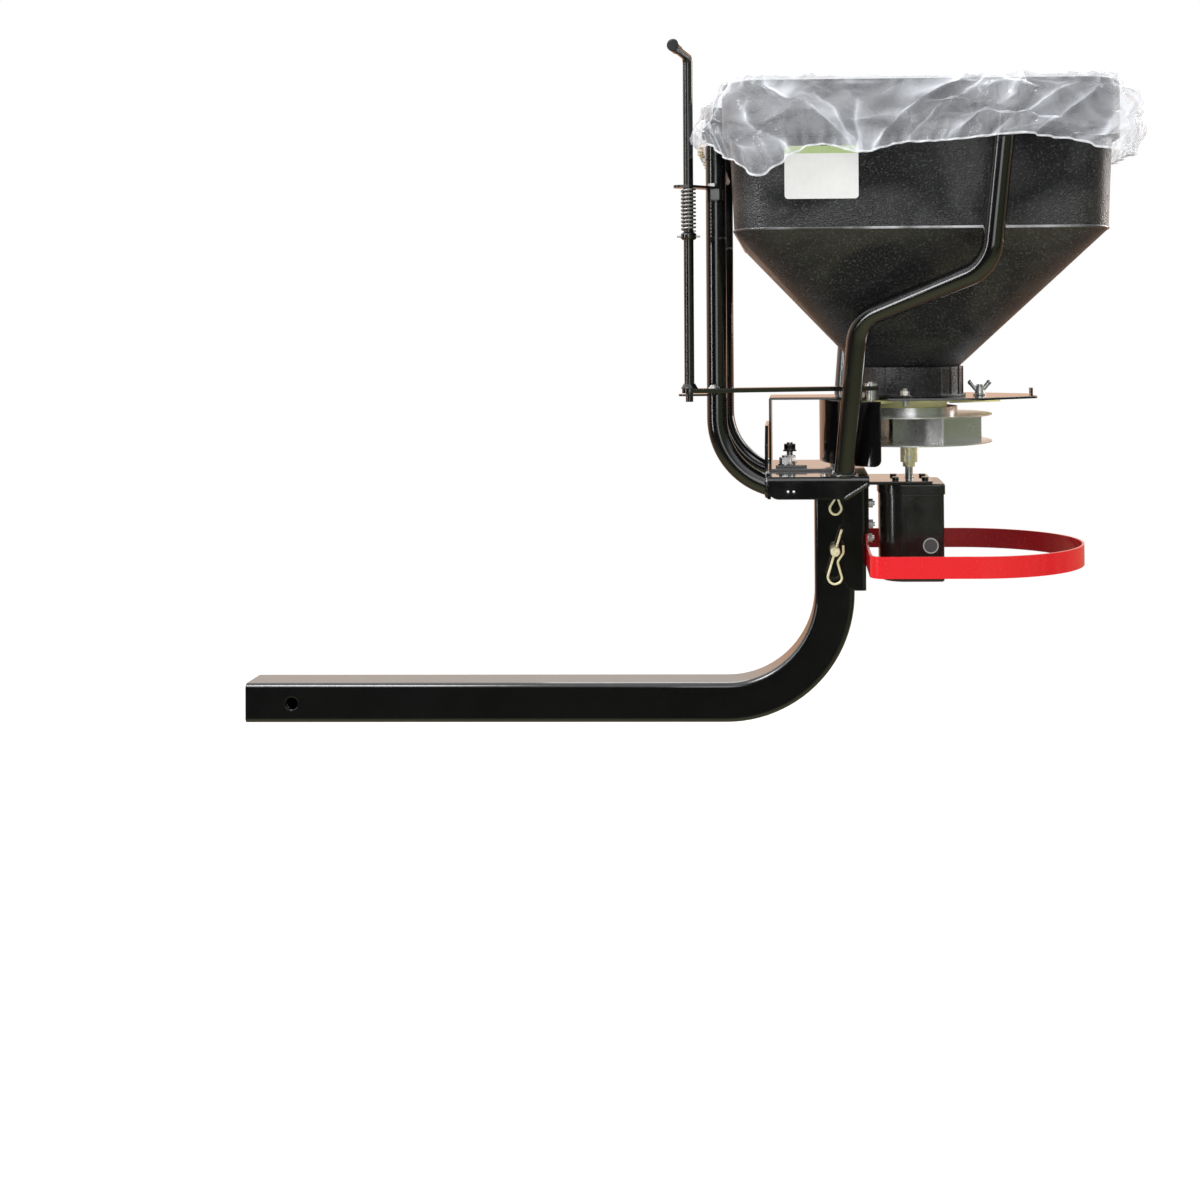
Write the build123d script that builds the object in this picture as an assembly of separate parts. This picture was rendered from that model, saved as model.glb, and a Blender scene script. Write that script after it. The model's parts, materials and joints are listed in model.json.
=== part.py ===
"""Hitch-mounted 12 V broadcast spreader: receiver shank, tube frame, square hopper, swing gate,
spinner with its gear motor, guard hoop, control rod and rain cover.

Millimetres. Origin: centre of the hitch-pin hole in the receiver shank.
+X points away from the vehicle, +Z up, and the control rod stands on the -Y side.
"""

import os
from math import asin, atan2, cos, degrees, hypot, radians, sin

from build123d import *

# ---------------------------------------------------------------- driving dimensions
# receiver shank and the post that drops into it
SHANK = 50.8
SHANK_WALL = 6.35
SHANK_CORNER = 6.0
SHANK_BORE_CORNER = 1.5
SHANK_FRONT_X = -60.0
SHANK_POST_X = 703.0
SHANK_BEND_R = 140.0
SHANK_TOP_Z = 291.0
HITCH_HOLE_R = 8.15
LOCK_PIN_R = 6.0
LOCK_PIN_HOLE_R = 6.4
LOCK_PIN_Z = (276.0, 197.0)
STUB = 37.2
STUB_WALL = 2.0
STUB_CORNER = 3.0
STUB_BOTTOM_Z = 168.0

# base pan, channel and front gusset
BASE_FRONT_X = 619.0
BASE_REAR_X = 743.0
BASE_HALF_Y = 114.0
BASE_TOP_Z = 298.8
BASE_FLANGE_Z = 271.4
SHEET = 4.0
CHANNEL_HALF_Y = 30.0
CHANNEL_FRONT_X = 713.0
CHANNEL_BOTTOM_Z = 144.4

# tubes
TUBE_R = 12.5
TUBE_WALL = 2.0
POST_X = 557.0
POST_Y = 92.0
POST_BEND_R = 87.0
POST_BEND_Z = 370.2
POST_TOP_Z = 749.0
CROSS_TUBE_Z = 682.0
CROSS_TUBE_R = 10.0
SUPPORT_FOOT = (713.0, 100.0, 298.8)
SUPPORT_LOW_BEND = (729.8, 148.0, 489.4)
SUPPORT_HIGH_BEND = (873.0, 238.0, 546.5)
SUPPORT_TOP = (893.0, 248.0, 745.4)
SUPPORT_BEND_R = 45.0

# spinner axis and everything on it
AXIS_X = 801.0
SHAFT_R = 5.0
RUNNING_GAP = 0.05
DISC_R = 107.0
DISC_THICK = 1.5
TOP_DISC_Z = 368.0
BOTTOM_DISC_Z = 333.6
RING_R = 63.0
RING_HEIGHT = 11.0
FIN_COUNT = 6
FIN_INNER_R = 46.0
FIN_OUTER_R = 93.0
FIN_SWEEP = 52.0
FIN_THICK = 1.2
SHIELD_R = 116.0
SHIELD_WALL = 2.0
SHIELD_HALF_ANGLE = 68.0
SHIELD_BOTTOM_Z = 309.4

# hopper
HOPPER_WALL = 4.0
OUTLET_Z = 430.4
OUTLET_R = 66.0
CREASE_Z = 592.4
CREASE = (435.0, 442.0, 44.0)
SKIRT_Z = 697.4
BELOW_SKIRT = (444.0, 451.0, 47.0)
RIM_Z = 760.4
RIM = (462.0, 462.0, 52.0)

# outlet bracket, collar and gate
BRACKET_WALL_X = 620.0
BRACKET_HALF_Y = 44.0
BRACKET_SHEET = 3.0
BRACKET_TOP_Z = 392.4
BRACKET_FOOT_X = 700.0
PLATE_HALF_Y = 88.0
PLATE_TIP_X = 962.0
COLLAR_R = 70.5
COLLAR_BORE_R = 60.0
COLLAR_FLANGE_R = 74.0
COLLAR_EAR_R = 9.0
COLLAR_RIBS = 24
GATE_BOLT_R = 80.0
GATE_BOLT_ANGLES = (-98.0, 52.0, 172.0)
PORT_COUNT = 6
PORT_INNER_R = 19.0
PORT_OUTER_R = 45.0
PORT_SPAN = 13.0
PORT_FIRST_ANGLE = 45.0
SHUTTER_TRAVEL = 13.89
SHUTTER_THICK = 3.5
SHUTTER_R = 62.0
SHUTTER_TAIL_ANGLE = 28.0
SHUTTER_TAIL_R = 150.0
ARM_REACH = 111.0
ARM_HALF_WIDTH = 10.5
BUSH_R = 11.0

# control rod, lever and their supports
ROD_X = 526.0
ROD_Y = -130.0
ROD_R = 6.0
ROD_TOP_Z = 809.4
HANDLE_REACH = (-11.5, -62.0)
LEVER_Z = 402.4
LEVER_THICK = 5.5
LEVER_HALF_WIDTH = 9.0
LEVER_PIN = (748.0, -80.1)
LEVER_PIN_R = 4.0
LEVER_SLOT_CLEARANCE = 2.2
GUIDE_Z = 650.4
COLLAR_TOP_Z = 596.4
SPRING_R = 8.0
SPRING_WIRE_R = 1.3
SPRING_TURNS = 11

# wing-bolt stop
STOP_R = 92.0
STOP_ANGLE = -3.0
STOP_TRAVEL = 12.0
STOP_BOLT_R = 4.0

# motor and guard hoop
MOTOR_X = (759.7, 843.6)
MOTOR_HALF_Y = 42.0
MOTOR_Z = (157.0, 281.4)
MOTOR_WALL = 2.5
MOUNT_PLATE_Z = 285.4
HOOP_Z = (175.9, 202.4)
HOOP_HALF_Y = 120.0
HOOP_ELLIPSE_X = 875.0
HOOP_ELLIPSE_A = 150.0
HOOP_THICK = 3.0
HOOP_REAR_R = 16.0
CHANNEL_BOLT_Z = (252.4, 225.4, 207.4)

# rain cover
COVER_X = (535.0, 1058.0)
COVER_HALF_Y = 274.0
COVER_Z = (682.4, 787.4)
COVER_WALL = 4.0
COVER_CORNER = 66.0

parts = {}


# ---------------------------------------------------------------- helpers
def box_between(low, high):
    """A box from its lowest to its highest corner."""
    size = [b - a for a, b in zip(low, high)]
    middle = [(a + b) / 2 for a, b in zip(low, high)]
    return Pos(*middle) * Box(*size)


def post(radius, x, y, bottom, top):
    """A vertical cylinder."""
    return Pos(x, y, (bottom + top) / 2) * Cylinder(radius, top - bottom)


def bar(radius, start, end):
    """A round bar between two points."""
    line = Edge.make_line(start, end)
    section = Plane(origin=start, z_dir=line.tangent_at(0)) * Circle(radius)
    return extrude(section, line.length)


def rod_along(path, radius):
    """A round rod swept along a tangent path."""
    section = Plane(origin=path @ 0, z_dir=path % 0) * Circle(radius)
    return sweep(section, path=path)


def tube_along(path, radius, wall):
    """A round tube swept along a tangent path."""
    return rod_along(path, radius) - rod_along(path, radius - wall)


def hexagon(across_flats, x, y, bottom, top):
    """A hexagonal nut or bolt head, standing on Z."""
    section = Pos(x, y, bottom) * RegularPolygon(across_flats / 2, 6, major_radius=False)
    return extrude(section, top - bottom)


def polar(radius, angle, centre=(AXIS_X, 0.0)):
    """Plan position at a radius and angle in degrees about a vertical axis."""
    return (centre[0] + radius * cos(radians(angle)), centre[1] + radius * sin(radians(angle)))


def plan_prism(points, bottom, top):
    """A prism over a plan outline."""
    outline = make_face(Polyline(*[(x, y, bottom) for x, y in points], close=True))
    return extrude(outline, top - bottom, dir=(0, 0, 1))


def plan_bar(start, end, half_width, bottom, top):
    """A flat bar with rounded ends between two plan points."""
    length = hypot(end[0] - start[0], end[1] - start[1])
    angle = degrees(atan2(end[1] - start[1], end[0] - start[0]))
    middle = ((start[0] + end[0]) / 2, (start[1] + end[1]) / 2)
    section = Pos(*middle, bottom) * Rot(0, 0, angle) * SlotCenterToCenter(length, 2 * half_width)
    return extrude(section, top - bottom)


def rounded_prism(size, z, height, centre_x=AXIS_X):
    """A prism over a rounded rectangle: size is length, width and corner radius."""
    return extrude(Pos(centre_x, 0, z) * RectangleRounded(*size), height)


def shrunk(size, wall):
    """The rounded rectangle that leaves a wall inside another."""
    return (size[0] - 2 * wall, size[1] - 2 * wall, size[2] - wall)


def loft_between(low_size, low_z, high_size, high_z):
    """A ruled solid between two rounded rectangles on the spinner axis."""
    low = Pos(AXIS_X, 0, low_z) * RectangleRounded(*low_size)
    high = Pos(AXIS_X, 0, high_z) * RectangleRounded(*high_size)
    return loft([low, high], ruled=True)


def kidney(inner_r, outer_r, first, last, bottom, top):
    """A sector-shaped prism about the spinner axis, from one angle to another."""
    mid = (first + last) / 2
    start = Edge.make_line(Vector(*polar(inner_r, first), bottom), Vector(*polar(outer_r, first), bottom))
    outer = Edge.make_three_point_arc(
        Vector(*polar(outer_r, first), bottom),
        Vector(*polar(outer_r, mid), bottom),
        Vector(*polar(outer_r, last), bottom),
    )
    end = Edge.make_line(Vector(*polar(outer_r, last), bottom), Vector(*polar(inner_r, last), bottom))
    inner = Edge.make_three_point_arc(
        Vector(*polar(inner_r, last), bottom),
        Vector(*polar(inner_r, mid), bottom),
        Vector(*polar(inner_r, first), bottom),
    )
    return extrude(make_face([start, outer, end, inner]), top - bottom, dir=(0, 0, 1))


def group(*solids):
    """Separate solids kept in one node."""
    flat = []
    for item in solids:
        flat.extend(item.solids())
    return Compound(children=flat)


def across_y(radius, x, z, half_length):
    """A bar along Y, centred on the middle plane."""
    return Pos(x, 0, z) * Rot(90, 0, 0) * Cylinder(radius, 2 * half_length)


# ---------------------------------------------------------------- receiver shank and stub
def make_shank():
    start = Vector(SHANK_FRONT_X, 0, 0)
    bend_start = Vector(SHANK_POST_X - SHANK_BEND_R, 0, 0)
    bend_end = Vector(SHANK_POST_X, 0, SHANK_BEND_R)
    centre = Vector(SHANK_POST_X - SHANK_BEND_R, 0, SHANK_BEND_R)
    bend_mid = centre + Vector(SHANK_BEND_R * sin(radians(45)), 0, -SHANK_BEND_R * cos(radians(45)))
    path = Wire([
        Edge.make_line(start, bend_start),
        Edge.make_three_point_arc(bend_start, bend_mid, bend_end),
        Edge.make_line(bend_end, Vector(SHANK_POST_X, 0, SHANK_TOP_Z)),
    ])
    end_plane = Plane(origin=start, z_dir=(1, 0, 0))
    bore = SHANK - 2 * SHANK_WALL
    outer = sweep(end_plane * RectangleRounded(SHANK, SHANK, SHANK_CORNER), path=path)
    inner = sweep(end_plane * RectangleRounded(bore, bore, SHANK_BORE_CORNER), path=path)
    shank = outer - inner - across_y(HITCH_HOLE_R, 0, 0, SHANK)
    for z in LOCK_PIN_Z:
        shank -= across_y(LOCK_PIN_HOLE_R, SHANK_POST_X, z, SHANK)
    return shank


def make_stub():
    height = BASE_TOP_Z - SHEET - STUB_BOTTOM_Z
    outer = (STUB, STUB, STUB_CORNER)
    stub = rounded_prism(outer, STUB_BOTTOM_Z, height, SHANK_POST_X)
    stub -= rounded_prism(shrunk(outer, STUB_WALL), STUB_BOTTOM_Z, height, SHANK_POST_X)
    for z in LOCK_PIN_Z:
        stub -= across_y(LOCK_PIN_HOLE_R, SHANK_POST_X, z, SHANK)
    return stub


parts["receiver_shank"] = make_shank()
parts["frame_stub_post"] = make_stub()


# ---------------------------------------------------------------- base pan, channel, gusset
FOOT_BOLTS = ((646.0, 16.0), (640.0, -18.0))
FOOT_HOLE_R = 4.4
FOOT_BOLT_R = 4.0


def make_base():
    length = BASE_REAR_X - BASE_FRONT_X
    middle = (BASE_REAR_X + BASE_FRONT_X) / 2
    height = BASE_TOP_Z - BASE_FLANGE_Z
    outer = Pos(middle, 0, BASE_FLANGE_Z + height / 2) * Box(length, 2 * BASE_HALF_Y, height)
    top_edges = outer.edges().filter_by(Axis.X).group_by(Axis.Z)[-1]
    outer = fillet(top_edges, SHEET)
    inside = box_between(
        (BASE_FRONT_X + SHEET, -BASE_HALF_Y + SHEET, BASE_FLANGE_Z - 1),
        (BASE_REAR_X + 1, BASE_HALF_Y - SHEET, BASE_TOP_Z - SHEET),
    )
    pan = outer - inside
    # the side flanges have a rounded front corner and run up to the top at the back
    rounding = 14.0
    corner = box_between(
        (BASE_FRONT_X - 1, -BASE_HALF_Y - 1, BASE_FLANGE_Z - 1),
        (BASE_FRONT_X + rounding, BASE_HALF_Y + 1, BASE_FLANGE_Z + rounding),
    )
    corner -= across_y(rounding, BASE_FRONT_X + rounding, BASE_FLANGE_Z + rounding, BASE_HALF_Y + 2)
    corner -= box_between(
        (BASE_FRONT_X - 2, -BASE_HALF_Y + SHEET, BASE_FLANGE_Z - 2),
        (BASE_FRONT_X + rounding + 1, BASE_HALF_Y - SHEET, BASE_FLANGE_Z + rounding + 1),
    )
    pan -= corner
    ramp = make_face(Polyline(
        (712.0, 0, BASE_FLANGE_Z - 1),
        (BASE_REAR_X + 1, 0, BASE_TOP_Z - 2 * SHEET),
        (BASE_REAR_X + 1, 0, BASE_FLANGE_Z - 1),
        close=True,
    ))
    pan -= extrude(ramp, BASE_HALF_Y + 1, both=True)
    for x, y in FOOT_BOLTS:
        pan -= post(FOOT_HOLE_R, x, y, BASE_FLANGE_Z, BASE_TOP_Z + 1)
    for x in (644.0, 651.0):
        pan -= across_y(1.5, x, 281.0, BASE_HALF_Y + 1)
    return pan


def make_channel():
    top = BASE_TOP_Z - SHEET
    channel = box_between(
        (CHANNEL_FRONT_X, -CHANNEL_HALF_Y, CHANNEL_BOTTOM_Z), (BASE_REAR_X, CHANNEL_HALF_Y, top)
    )
    long_edges = channel.edges().filter_by(Axis.Z).group_by(Axis.X)[-1]
    channel = fillet(long_edges, SHEET)
    inner_half = CHANNEL_HALF_Y - SHEET
    channel -= box_between(
        (CHANNEL_FRONT_X - 1, -inner_half, CHANNEL_BOTTOM_Z - 1),
        (BASE_REAR_X - SHEET, inner_half, top + 1),
    )
    rounding = 18.0
    corner = box_between(
        (CHANNEL_FRONT_X - 1, -CHANNEL_HALF_Y - 1, CHANNEL_BOTTOM_Z - 1),
        (CHANNEL_FRONT_X + rounding, CHANNEL_HALF_Y + 1, CHANNEL_BOTTOM_Z + rounding),
    )
    corner_x, corner_z = CHANNEL_FRONT_X + rounding, CHANNEL_BOTTOM_Z + rounding
    corner -= across_y(rounding, corner_x, corner_z, CHANNEL_HALF_Y + 2)
    channel -= corner
    for z in CHANNEL_BOLT_Z:
        channel -= Pos(BASE_REAR_X, 0, z) * Rot(0, 90, 0) * Cylinder(3.3, 20)
    return channel


def make_front_gusset():
    half = 70.0
    low = 275.0
    high = 357.0
    chamfer_size = 22.0
    x_front = BASE_FRONT_X - SHEET
    outline = make_face(Polyline(
        (x_front, -half, low),
        (x_front, half, low),
        (x_front, half, high - chamfer_size),
        (x_front, half - chamfer_size, high),
        (x_front, -half + chamfer_size, high),
        (x_front, -half, high - chamfer_size),
        close=True,
    ))
    return extrude(outline, SHEET, dir=(1, 0, 0))


parts["frame_base"] = make_base()
parts["back_channel"] = make_channel()
parts["front_gusset"] = make_front_gusset()


# ---------------------------------------------------------------- tube frame
HOPPER_BOLT_Z = 722.0
HOPPER_BOLT_R = 4.0
HOPPER_HOLE_R = 4.4
SUPPORT_BOLT_X = 890.8
SUPPORT_BOLT_HEAD_Y = 261.5


def make_front_post(side):
    y = side * POST_Y
    bend_x = POST_X + POST_BEND_R
    end_angle = asin((bend_x - BASE_FRONT_X - SHEET / 2) / POST_BEND_R)

    def on_bend(angle):
        return Vector(bend_x - POST_BEND_R * sin(angle), y, POST_BEND_Z - POST_BEND_R * cos(angle))

    path = Wire([
        Edge.make_line(Vector(POST_X, y, POST_TOP_Z), Vector(POST_X, y, POST_BEND_Z)),
        Edge.make_three_point_arc(
            Vector(POST_X, y, POST_BEND_Z), on_bend((end_angle + radians(90)) / 2), on_bend(end_angle)
        ),
    ])
    tube = tube_along(path, TUBE_R, TUBE_WALL)
    tube -= box_between((BASE_FRONT_X, y - 30, 230), (BASE_FRONT_X + 60, y + 30, 330))
    tube -= Pos(POST_X, y, HOPPER_BOLT_Z) * Rot(0, 90, 0) * Cylinder(HOPPER_HOLE_R, 40)
    return tube


def make_rear_support(side):
    points = [
        Vector(x, side * y, z)
        for x, y, z in (SUPPORT_FOOT, SUPPORT_LOW_BEND, SUPPORT_HIGH_BEND, SUPPORT_TOP)
    ]
    below = points[0] - (points[1] - points[0]).normalized() * 12
    path = FilletPolyline(below, *points[1:], radius=SUPPORT_BEND_R)
    tube = tube_along(path, TUBE_R, TUBE_WALL)
    x, y, z = SUPPORT_FOOT
    tube -= box_between((x - 40, side * y - 40, z - 40), (x + 40, side * y + 40, z))
    tube -= Pos(SUPPORT_BOLT_X, side * 247, HOPPER_BOLT_Z) * Rot(90, 0, 0) * Cylinder(HOPPER_HOLE_R, 50)
    return tube


for side, name in ((-1, "left"), (1, "right")):
    parts[f"front_post_{name}"] = make_front_post(side)
    parts[f"rear_support_{name}"] = make_rear_support(side)

cross_tube = Pos(POST_X, 0, CROSS_TUBE_Z) * Rot(90, 0, 0) * (
    Cylinder(CROSS_TUBE_R, 2 * POST_Y) - Cylinder(CROSS_TUBE_R - TUBE_WALL, 2 * POST_Y)
)
for side in (-1, 1):
    cross_tube -= post(TUBE_R, POST_X, side * POST_Y, 600, 760)
parts["front_cross_tube"] = cross_tube

PLUG_THICK = 3.0


def make_support_plug(side):
    low = Vector(SUPPORT_HIGH_BEND[0], side * SUPPORT_HIGH_BEND[1], SUPPORT_HIGH_BEND[2])
    top = Vector(SUPPORT_TOP[0], side * SUPPORT_TOP[1], SUPPORT_TOP[2])
    return bar(TUBE_R, top, top + (top - low).normalized() * PLUG_THICK)


tube_plugs = [make_support_plug(side) for side in (-1, 1)]
plug_top = POST_TOP_Z + PLUG_THICK
tube_plugs += [post(TUBE_R, POST_X, side * POST_Y, POST_TOP_Z, plug_top) for side in (-1, 1)]
parts["tube_end_plugs"] = group(*tube_plugs)


# ---------------------------------------------------------------- hopper
FRONT_WALL_X = AXIS_X - RIM[0] / 2
SIDE_WALL_Y = RIM[1] / 2


def make_hopper():
    outlet = (2 * OUTLET_R, 2 * OUTLET_R, OUTLET_R - 0.5)
    outlet_inner = shrunk(outlet, HOPPER_WALL)
    slope_wall = HOPPER_WALL * 1.38
    outer = loft_between(outlet, OUTLET_Z, CREASE, CREASE_Z)
    outer += loft_between(CREASE, CREASE_Z, BELOW_SKIRT, SKIRT_Z)
    outer += rounded_prism(RIM, SKIRT_Z, RIM_Z - SKIRT_Z)
    inner_crease = shrunk(CREASE, HOPPER_WALL)
    inner = loft_between(outlet_inner, OUTLET_Z, inner_crease, CREASE_Z + slope_wall - HOPPER_WALL)
    inner += loft_between(
        inner_crease, CREASE_Z + slope_wall - HOPPER_WALL, shrunk(BELOW_SKIRT, HOPPER_WALL), SKIRT_Z + 2
    )
    inner += rounded_prism(shrunk(RIM, HOPPER_WALL), SKIRT_Z + HOPPER_WALL, RIM_Z - SKIRT_Z)
    inner += rounded_prism(shrunk(BELOW_SKIRT, HOPPER_WALL), SKIRT_Z + 1, HOPPER_WALL)
    hopper = outer - inner
    for side in (-1, 1):
        front_hole = Rot(0, 90, 0) * Cylinder(HOPPER_HOLE_R, 20)
        side_hole = Rot(90, 0, 0) * Cylinder(HOPPER_HOLE_R, 20)
        hopper -= Pos(FRONT_WALL_X, side * POST_Y, HOPPER_BOLT_Z) * front_hole
        hopper -= Pos(SUPPORT_BOLT_X, side * SIDE_WALL_Y, HOPPER_BOLT_Z) * side_hole
    return hopper


def make_hopper_bolts():
    """Two bolts through the front posts and two through the rear supports, heads outside."""
    head = 3.2
    front_head_x = POST_X - TUBE_R - head
    bolts = []
    for side in (-1, 1):
        y = side * POST_Y
        shank = bar(HOPPER_BOLT_R, (front_head_x, y, HOPPER_BOLT_Z), (FRONT_WALL_X + 16, y, HOPPER_BOLT_Z))
        dome = bar(8.0, (front_head_x, y, HOPPER_BOLT_Z), (POST_X - TUBE_R, y, HOPPER_BOLT_Z))
        bolts.append(shank + dome)
        head_y = side * (SUPPORT_BOLT_HEAD_Y + head)
        wall_y = side * (SIDE_WALL_Y - 16)
        x = SUPPORT_BOLT_X
        shank = bar(HOPPER_BOLT_R, (x, head_y, HOPPER_BOLT_Z), (x, wall_y, HOPPER_BOLT_Z))
        dome = bar(8.0, (x, head_y, HOPPER_BOLT_Z), (x, side * SUPPORT_BOLT_HEAD_Y, HOPPER_BOLT_Z))
        bolts.append(shank + dome)
    return group(*bolts)


def make_hopper_nuts():
    nut = extrude(RegularPolygon(6.5, 6, major_radius=False), 6.5) - Cylinder(HOPPER_BOLT_R, 40)
    nuts = []
    for side in (-1, 1):
        inner_x = FRONT_WALL_X + HOPPER_WALL
        nuts.append(Pos(inner_x, side * POST_Y, HOPPER_BOLT_Z) * Rot(0, 90, 0) * nut)
        inner_y = SIDE_WALL_Y - HOPPER_WALL
        nuts.append(Pos(SUPPORT_BOLT_X, side * inner_y, HOPPER_BOLT_Z) * Rot(side * 90, 0, 0) * nut)
    return group(*nuts)


parts["hopper"] = make_hopper()
parts["hopper_fasteners"] = group(make_hopper_bolts(), make_hopper_nuts())

# a plain label with rounded corners lies on the -Y wall, leaning with its draft
LABEL_SIZE = (84.0, 60.0)
LABEL_CENTRE = (685.0, 656.0)
wall_rise = SKIRT_Z - CREASE_Z
wall_lean = degrees(atan2((BELOW_SKIRT[1] - CREASE[1]) / 2, wall_rise))
wall_y = -(CREASE[1] + (BELOW_SKIRT[1] - CREASE[1]) * (LABEL_CENTRE[1] - CREASE_Z) / wall_rise) / 2
label = Pos(LABEL_CENTRE[0], wall_y, LABEL_CENTRE[1]) * Rot(90 + wall_lean, 0, 0) * extrude(
    RectangleRounded(*LABEL_SIZE, 4), 0.4
)
parts["hopper_label"] = label


# ---------------------------------------------------------------- outlet bracket and its fasteners
PLATE_BOTTOM_Z = BRACKET_TOP_Z - BRACKET_SHEET


def gate_ports(bottom, top, shift=0.0):
    """The openings that the product falls through, at one gate position."""
    ports = []
    for i in range(PORT_COUNT):
        mid = PORT_FIRST_ANGLE + i * 360 / PORT_COUNT + shift
        first = mid - PORT_SPAN / 2
        last = mid + PORT_SPAN / 2
        ports.append(kidney(PORT_INNER_R, PORT_OUTER_R, first, last, bottom, top))
    return ports


def make_bracket():
    half = BRACKET_HALF_Y
    wall = box_between(
        (BRACKET_WALL_X, -half, BASE_TOP_Z), (BRACKET_WALL_X + BRACKET_SHEET, half, BRACKET_TOP_Z)
    )
    foot = box_between(
        (BRACKET_WALL_X, -half, BASE_TOP_Z), (BRACKET_FOOT_X, half, BASE_TOP_Z + BRACKET_SHEET)
    )
    neck_end = 760.0
    outline = [
        (BRACKET_WALL_X, -half),
        (neck_end, -half),
        (neck_end + 8, -PLATE_HALF_Y),
        (882.0, -PLATE_HALF_Y),
        (PLATE_TIP_X, -38.0),
        (PLATE_TIP_X, 38.0),
        (882.0, PLATE_HALF_Y),
        (neck_end + 8, PLATE_HALF_Y),
        (neck_end, half),
        (BRACKET_WALL_X, half),
    ]
    top = plan_prism(outline, PLATE_BOTTOM_Z, BRACKET_TOP_Z)
    tip_edges = top.edges().filter_by(Axis.Z).group_by(Axis.X)[-1]
    top = fillet(tip_edges, 10)
    bracket = wall + foot + top
    bend_edges = [
        e for e in bracket.edges().filter_by(Axis.Y)
        if abs(e.center().X - BRACKET_WALL_X) < 0.1 and e.center().Z > BASE_TOP_Z + 1
    ]
    bracket = fillet(bend_edges, 2.8)
    tab = box_between((958.5, -6.0, BRACKET_TOP_Z), (961.5, 6.0, BRACKET_TOP_Z + 9))
    bracket += tab
    for port in gate_ports(PLATE_BOTTOM_Z - 1, BRACKET_TOP_Z + 1, -SHUTTER_TRAVEL):
        bracket -= port
    bracket -= post(BUSH_R, AXIS_X, 0, PLATE_BOTTOM_Z - 1, BRACKET_TOP_Z + 1)
    for angle in GATE_BOLT_ANGLES:
        bracket -= post(3.3, *polar(GATE_BOLT_R, angle), PLATE_BOTTOM_Z - 1, BRACKET_TOP_Z + 1)
    slot = kidney(
        STOP_R - STOP_BOLT_R - 0.5, STOP_R + STOP_BOLT_R + 0.5,
        STOP_ANGLE - STOP_TRAVEL - 4, STOP_ANGLE + 4,
        PLATE_BOTTOM_Z - 1, BRACKET_TOP_Z + 1,
    )
    bracket -= slot
    for x, y in FOOT_BOLTS:
        bracket -= post(FOOT_HOLE_R, x, y, BASE_TOP_Z - 1, BASE_TOP_Z + BRACKET_SHEET + 1)
    return bracket


def make_shield():
    first = 180 - SHIELD_HALF_ANGLE
    last = 180 + SHIELD_HALF_ANGLE
    shield = kidney(SHIELD_R - SHIELD_WALL, SHIELD_R, first, last, SHIELD_BOTTOM_Z, PLATE_BOTTOM_Z)
    low_corners = [
        e for e in shield.edges()
        if e.length < SHIELD_WALL + 0.1
        and e.center().Z < SHIELD_BOTTOM_Z + 0.1
        and abs(e.center().Y) > 90
    ]
    return fillet(low_corners, 9)


parts["outlet_bracket"] = make_bracket()
parts["spinner_shield"] = make_shield()

FOOT_Z = BASE_TOP_Z + BRACKET_SHEET
STRAP_TOP = FOOT_Z + 3
far_bolt, near_bolt = FOOT_BOLTS
strap = box_between((628.0, -28.0, FOOT_Z), (668.0, 28.0, STRAP_TOP))
for x, y in FOOT_BOLTS:
    strap -= post(FOOT_HOLE_R, x, y, FOOT_Z - 1, STRAP_TOP + 1)
parts["foot_strap"] = strap


def foot_bolt(x, y, length):
    head_top = BASE_TOP_Z - SHEET
    return post(FOOT_BOLT_R, x, y, head_top, STRAP_TOP + length) + post(8, x, y, head_top - 4, head_top)


def flanged_nut(x, y, bottom):
    """A hexagonal nut standing on its washer."""
    nut = post(9, x, y, bottom, bottom + 1.5) + hexagon(13, x, y, bottom + 1.5, bottom + 9.5)
    return nut - post(FOOT_BOLT_R, x, y, bottom - 1, bottom + 20)


parts["foot_bolts"] = group(foot_bolt(*near_bolt, 12), foot_bolt(*far_bolt, 26))
parts["foot_nuts"] = group(flanged_nut(*near_bolt, STRAP_TOP), flanged_nut(*far_bolt, STRAP_TOP))
parts["foot_lock_nut"] = flanged_nut(*far_bolt, STRAP_TOP + 14.5)


# ---------------------------------------------------------------- outlet collar, bush, gate bolts
def make_collar():
    flange_top = BRACKET_TOP_Z + 3
    collar = post(COLLAR_R, AXIS_X, 0, BRACKET_TOP_Z, OUTLET_Z)
    collar += post(COLLAR_FLANGE_R, AXIS_X, 0, BRACKET_TOP_Z, flange_top)
    for angle in GATE_BOLT_ANGLES:
        collar += post(COLLAR_EAR_R, *polar(GATE_BOLT_R, angle), BRACKET_TOP_Z, flange_top)
    for i in range(COLLAR_RIBS):
        angle = i * 360 / COLLAR_RIBS
        middle = Pos(*polar(COLLAR_R, angle), (flange_top + OUTLET_Z) / 2)
        collar += middle * Rot(0, 0, angle) * Box(2.0, 2.4, OUTLET_Z - flange_top)
    collar -= post(COLLAR_BORE_R, AXIS_X, 0, BRACKET_TOP_Z - 1, OUTLET_Z + 1)
    for angle in GATE_BOLT_ANGLES:
        collar -= post(3.3, *polar(GATE_BOLT_R, angle), BRACKET_TOP_Z - 1, OUTLET_Z + 1)
    return collar


parts["outlet_collar"] = make_collar()

SHUTTER_TOP = PLATE_BOTTOM_Z - 0.5
SHUTTER_BOTTOM = SHUTTER_TOP - SHUTTER_THICK
bush = post(BUSH_R, AXIS_X, 0, SHUTTER_BOTTOM - 0.5, BRACKET_TOP_Z)
bush += post(16.0, AXIS_X, 0, BRACKET_TOP_Z, BRACKET_TOP_Z + 3)
bush += post(16.0, AXIS_X, 0, SHUTTER_BOTTOM - 3.5, SHUTTER_BOTTOM - 0.5)
bush -= post(SHAFT_R + RUNNING_GAP, AXIS_X, 0, 360, 410)
parts["centre_bush"] = bush

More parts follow.
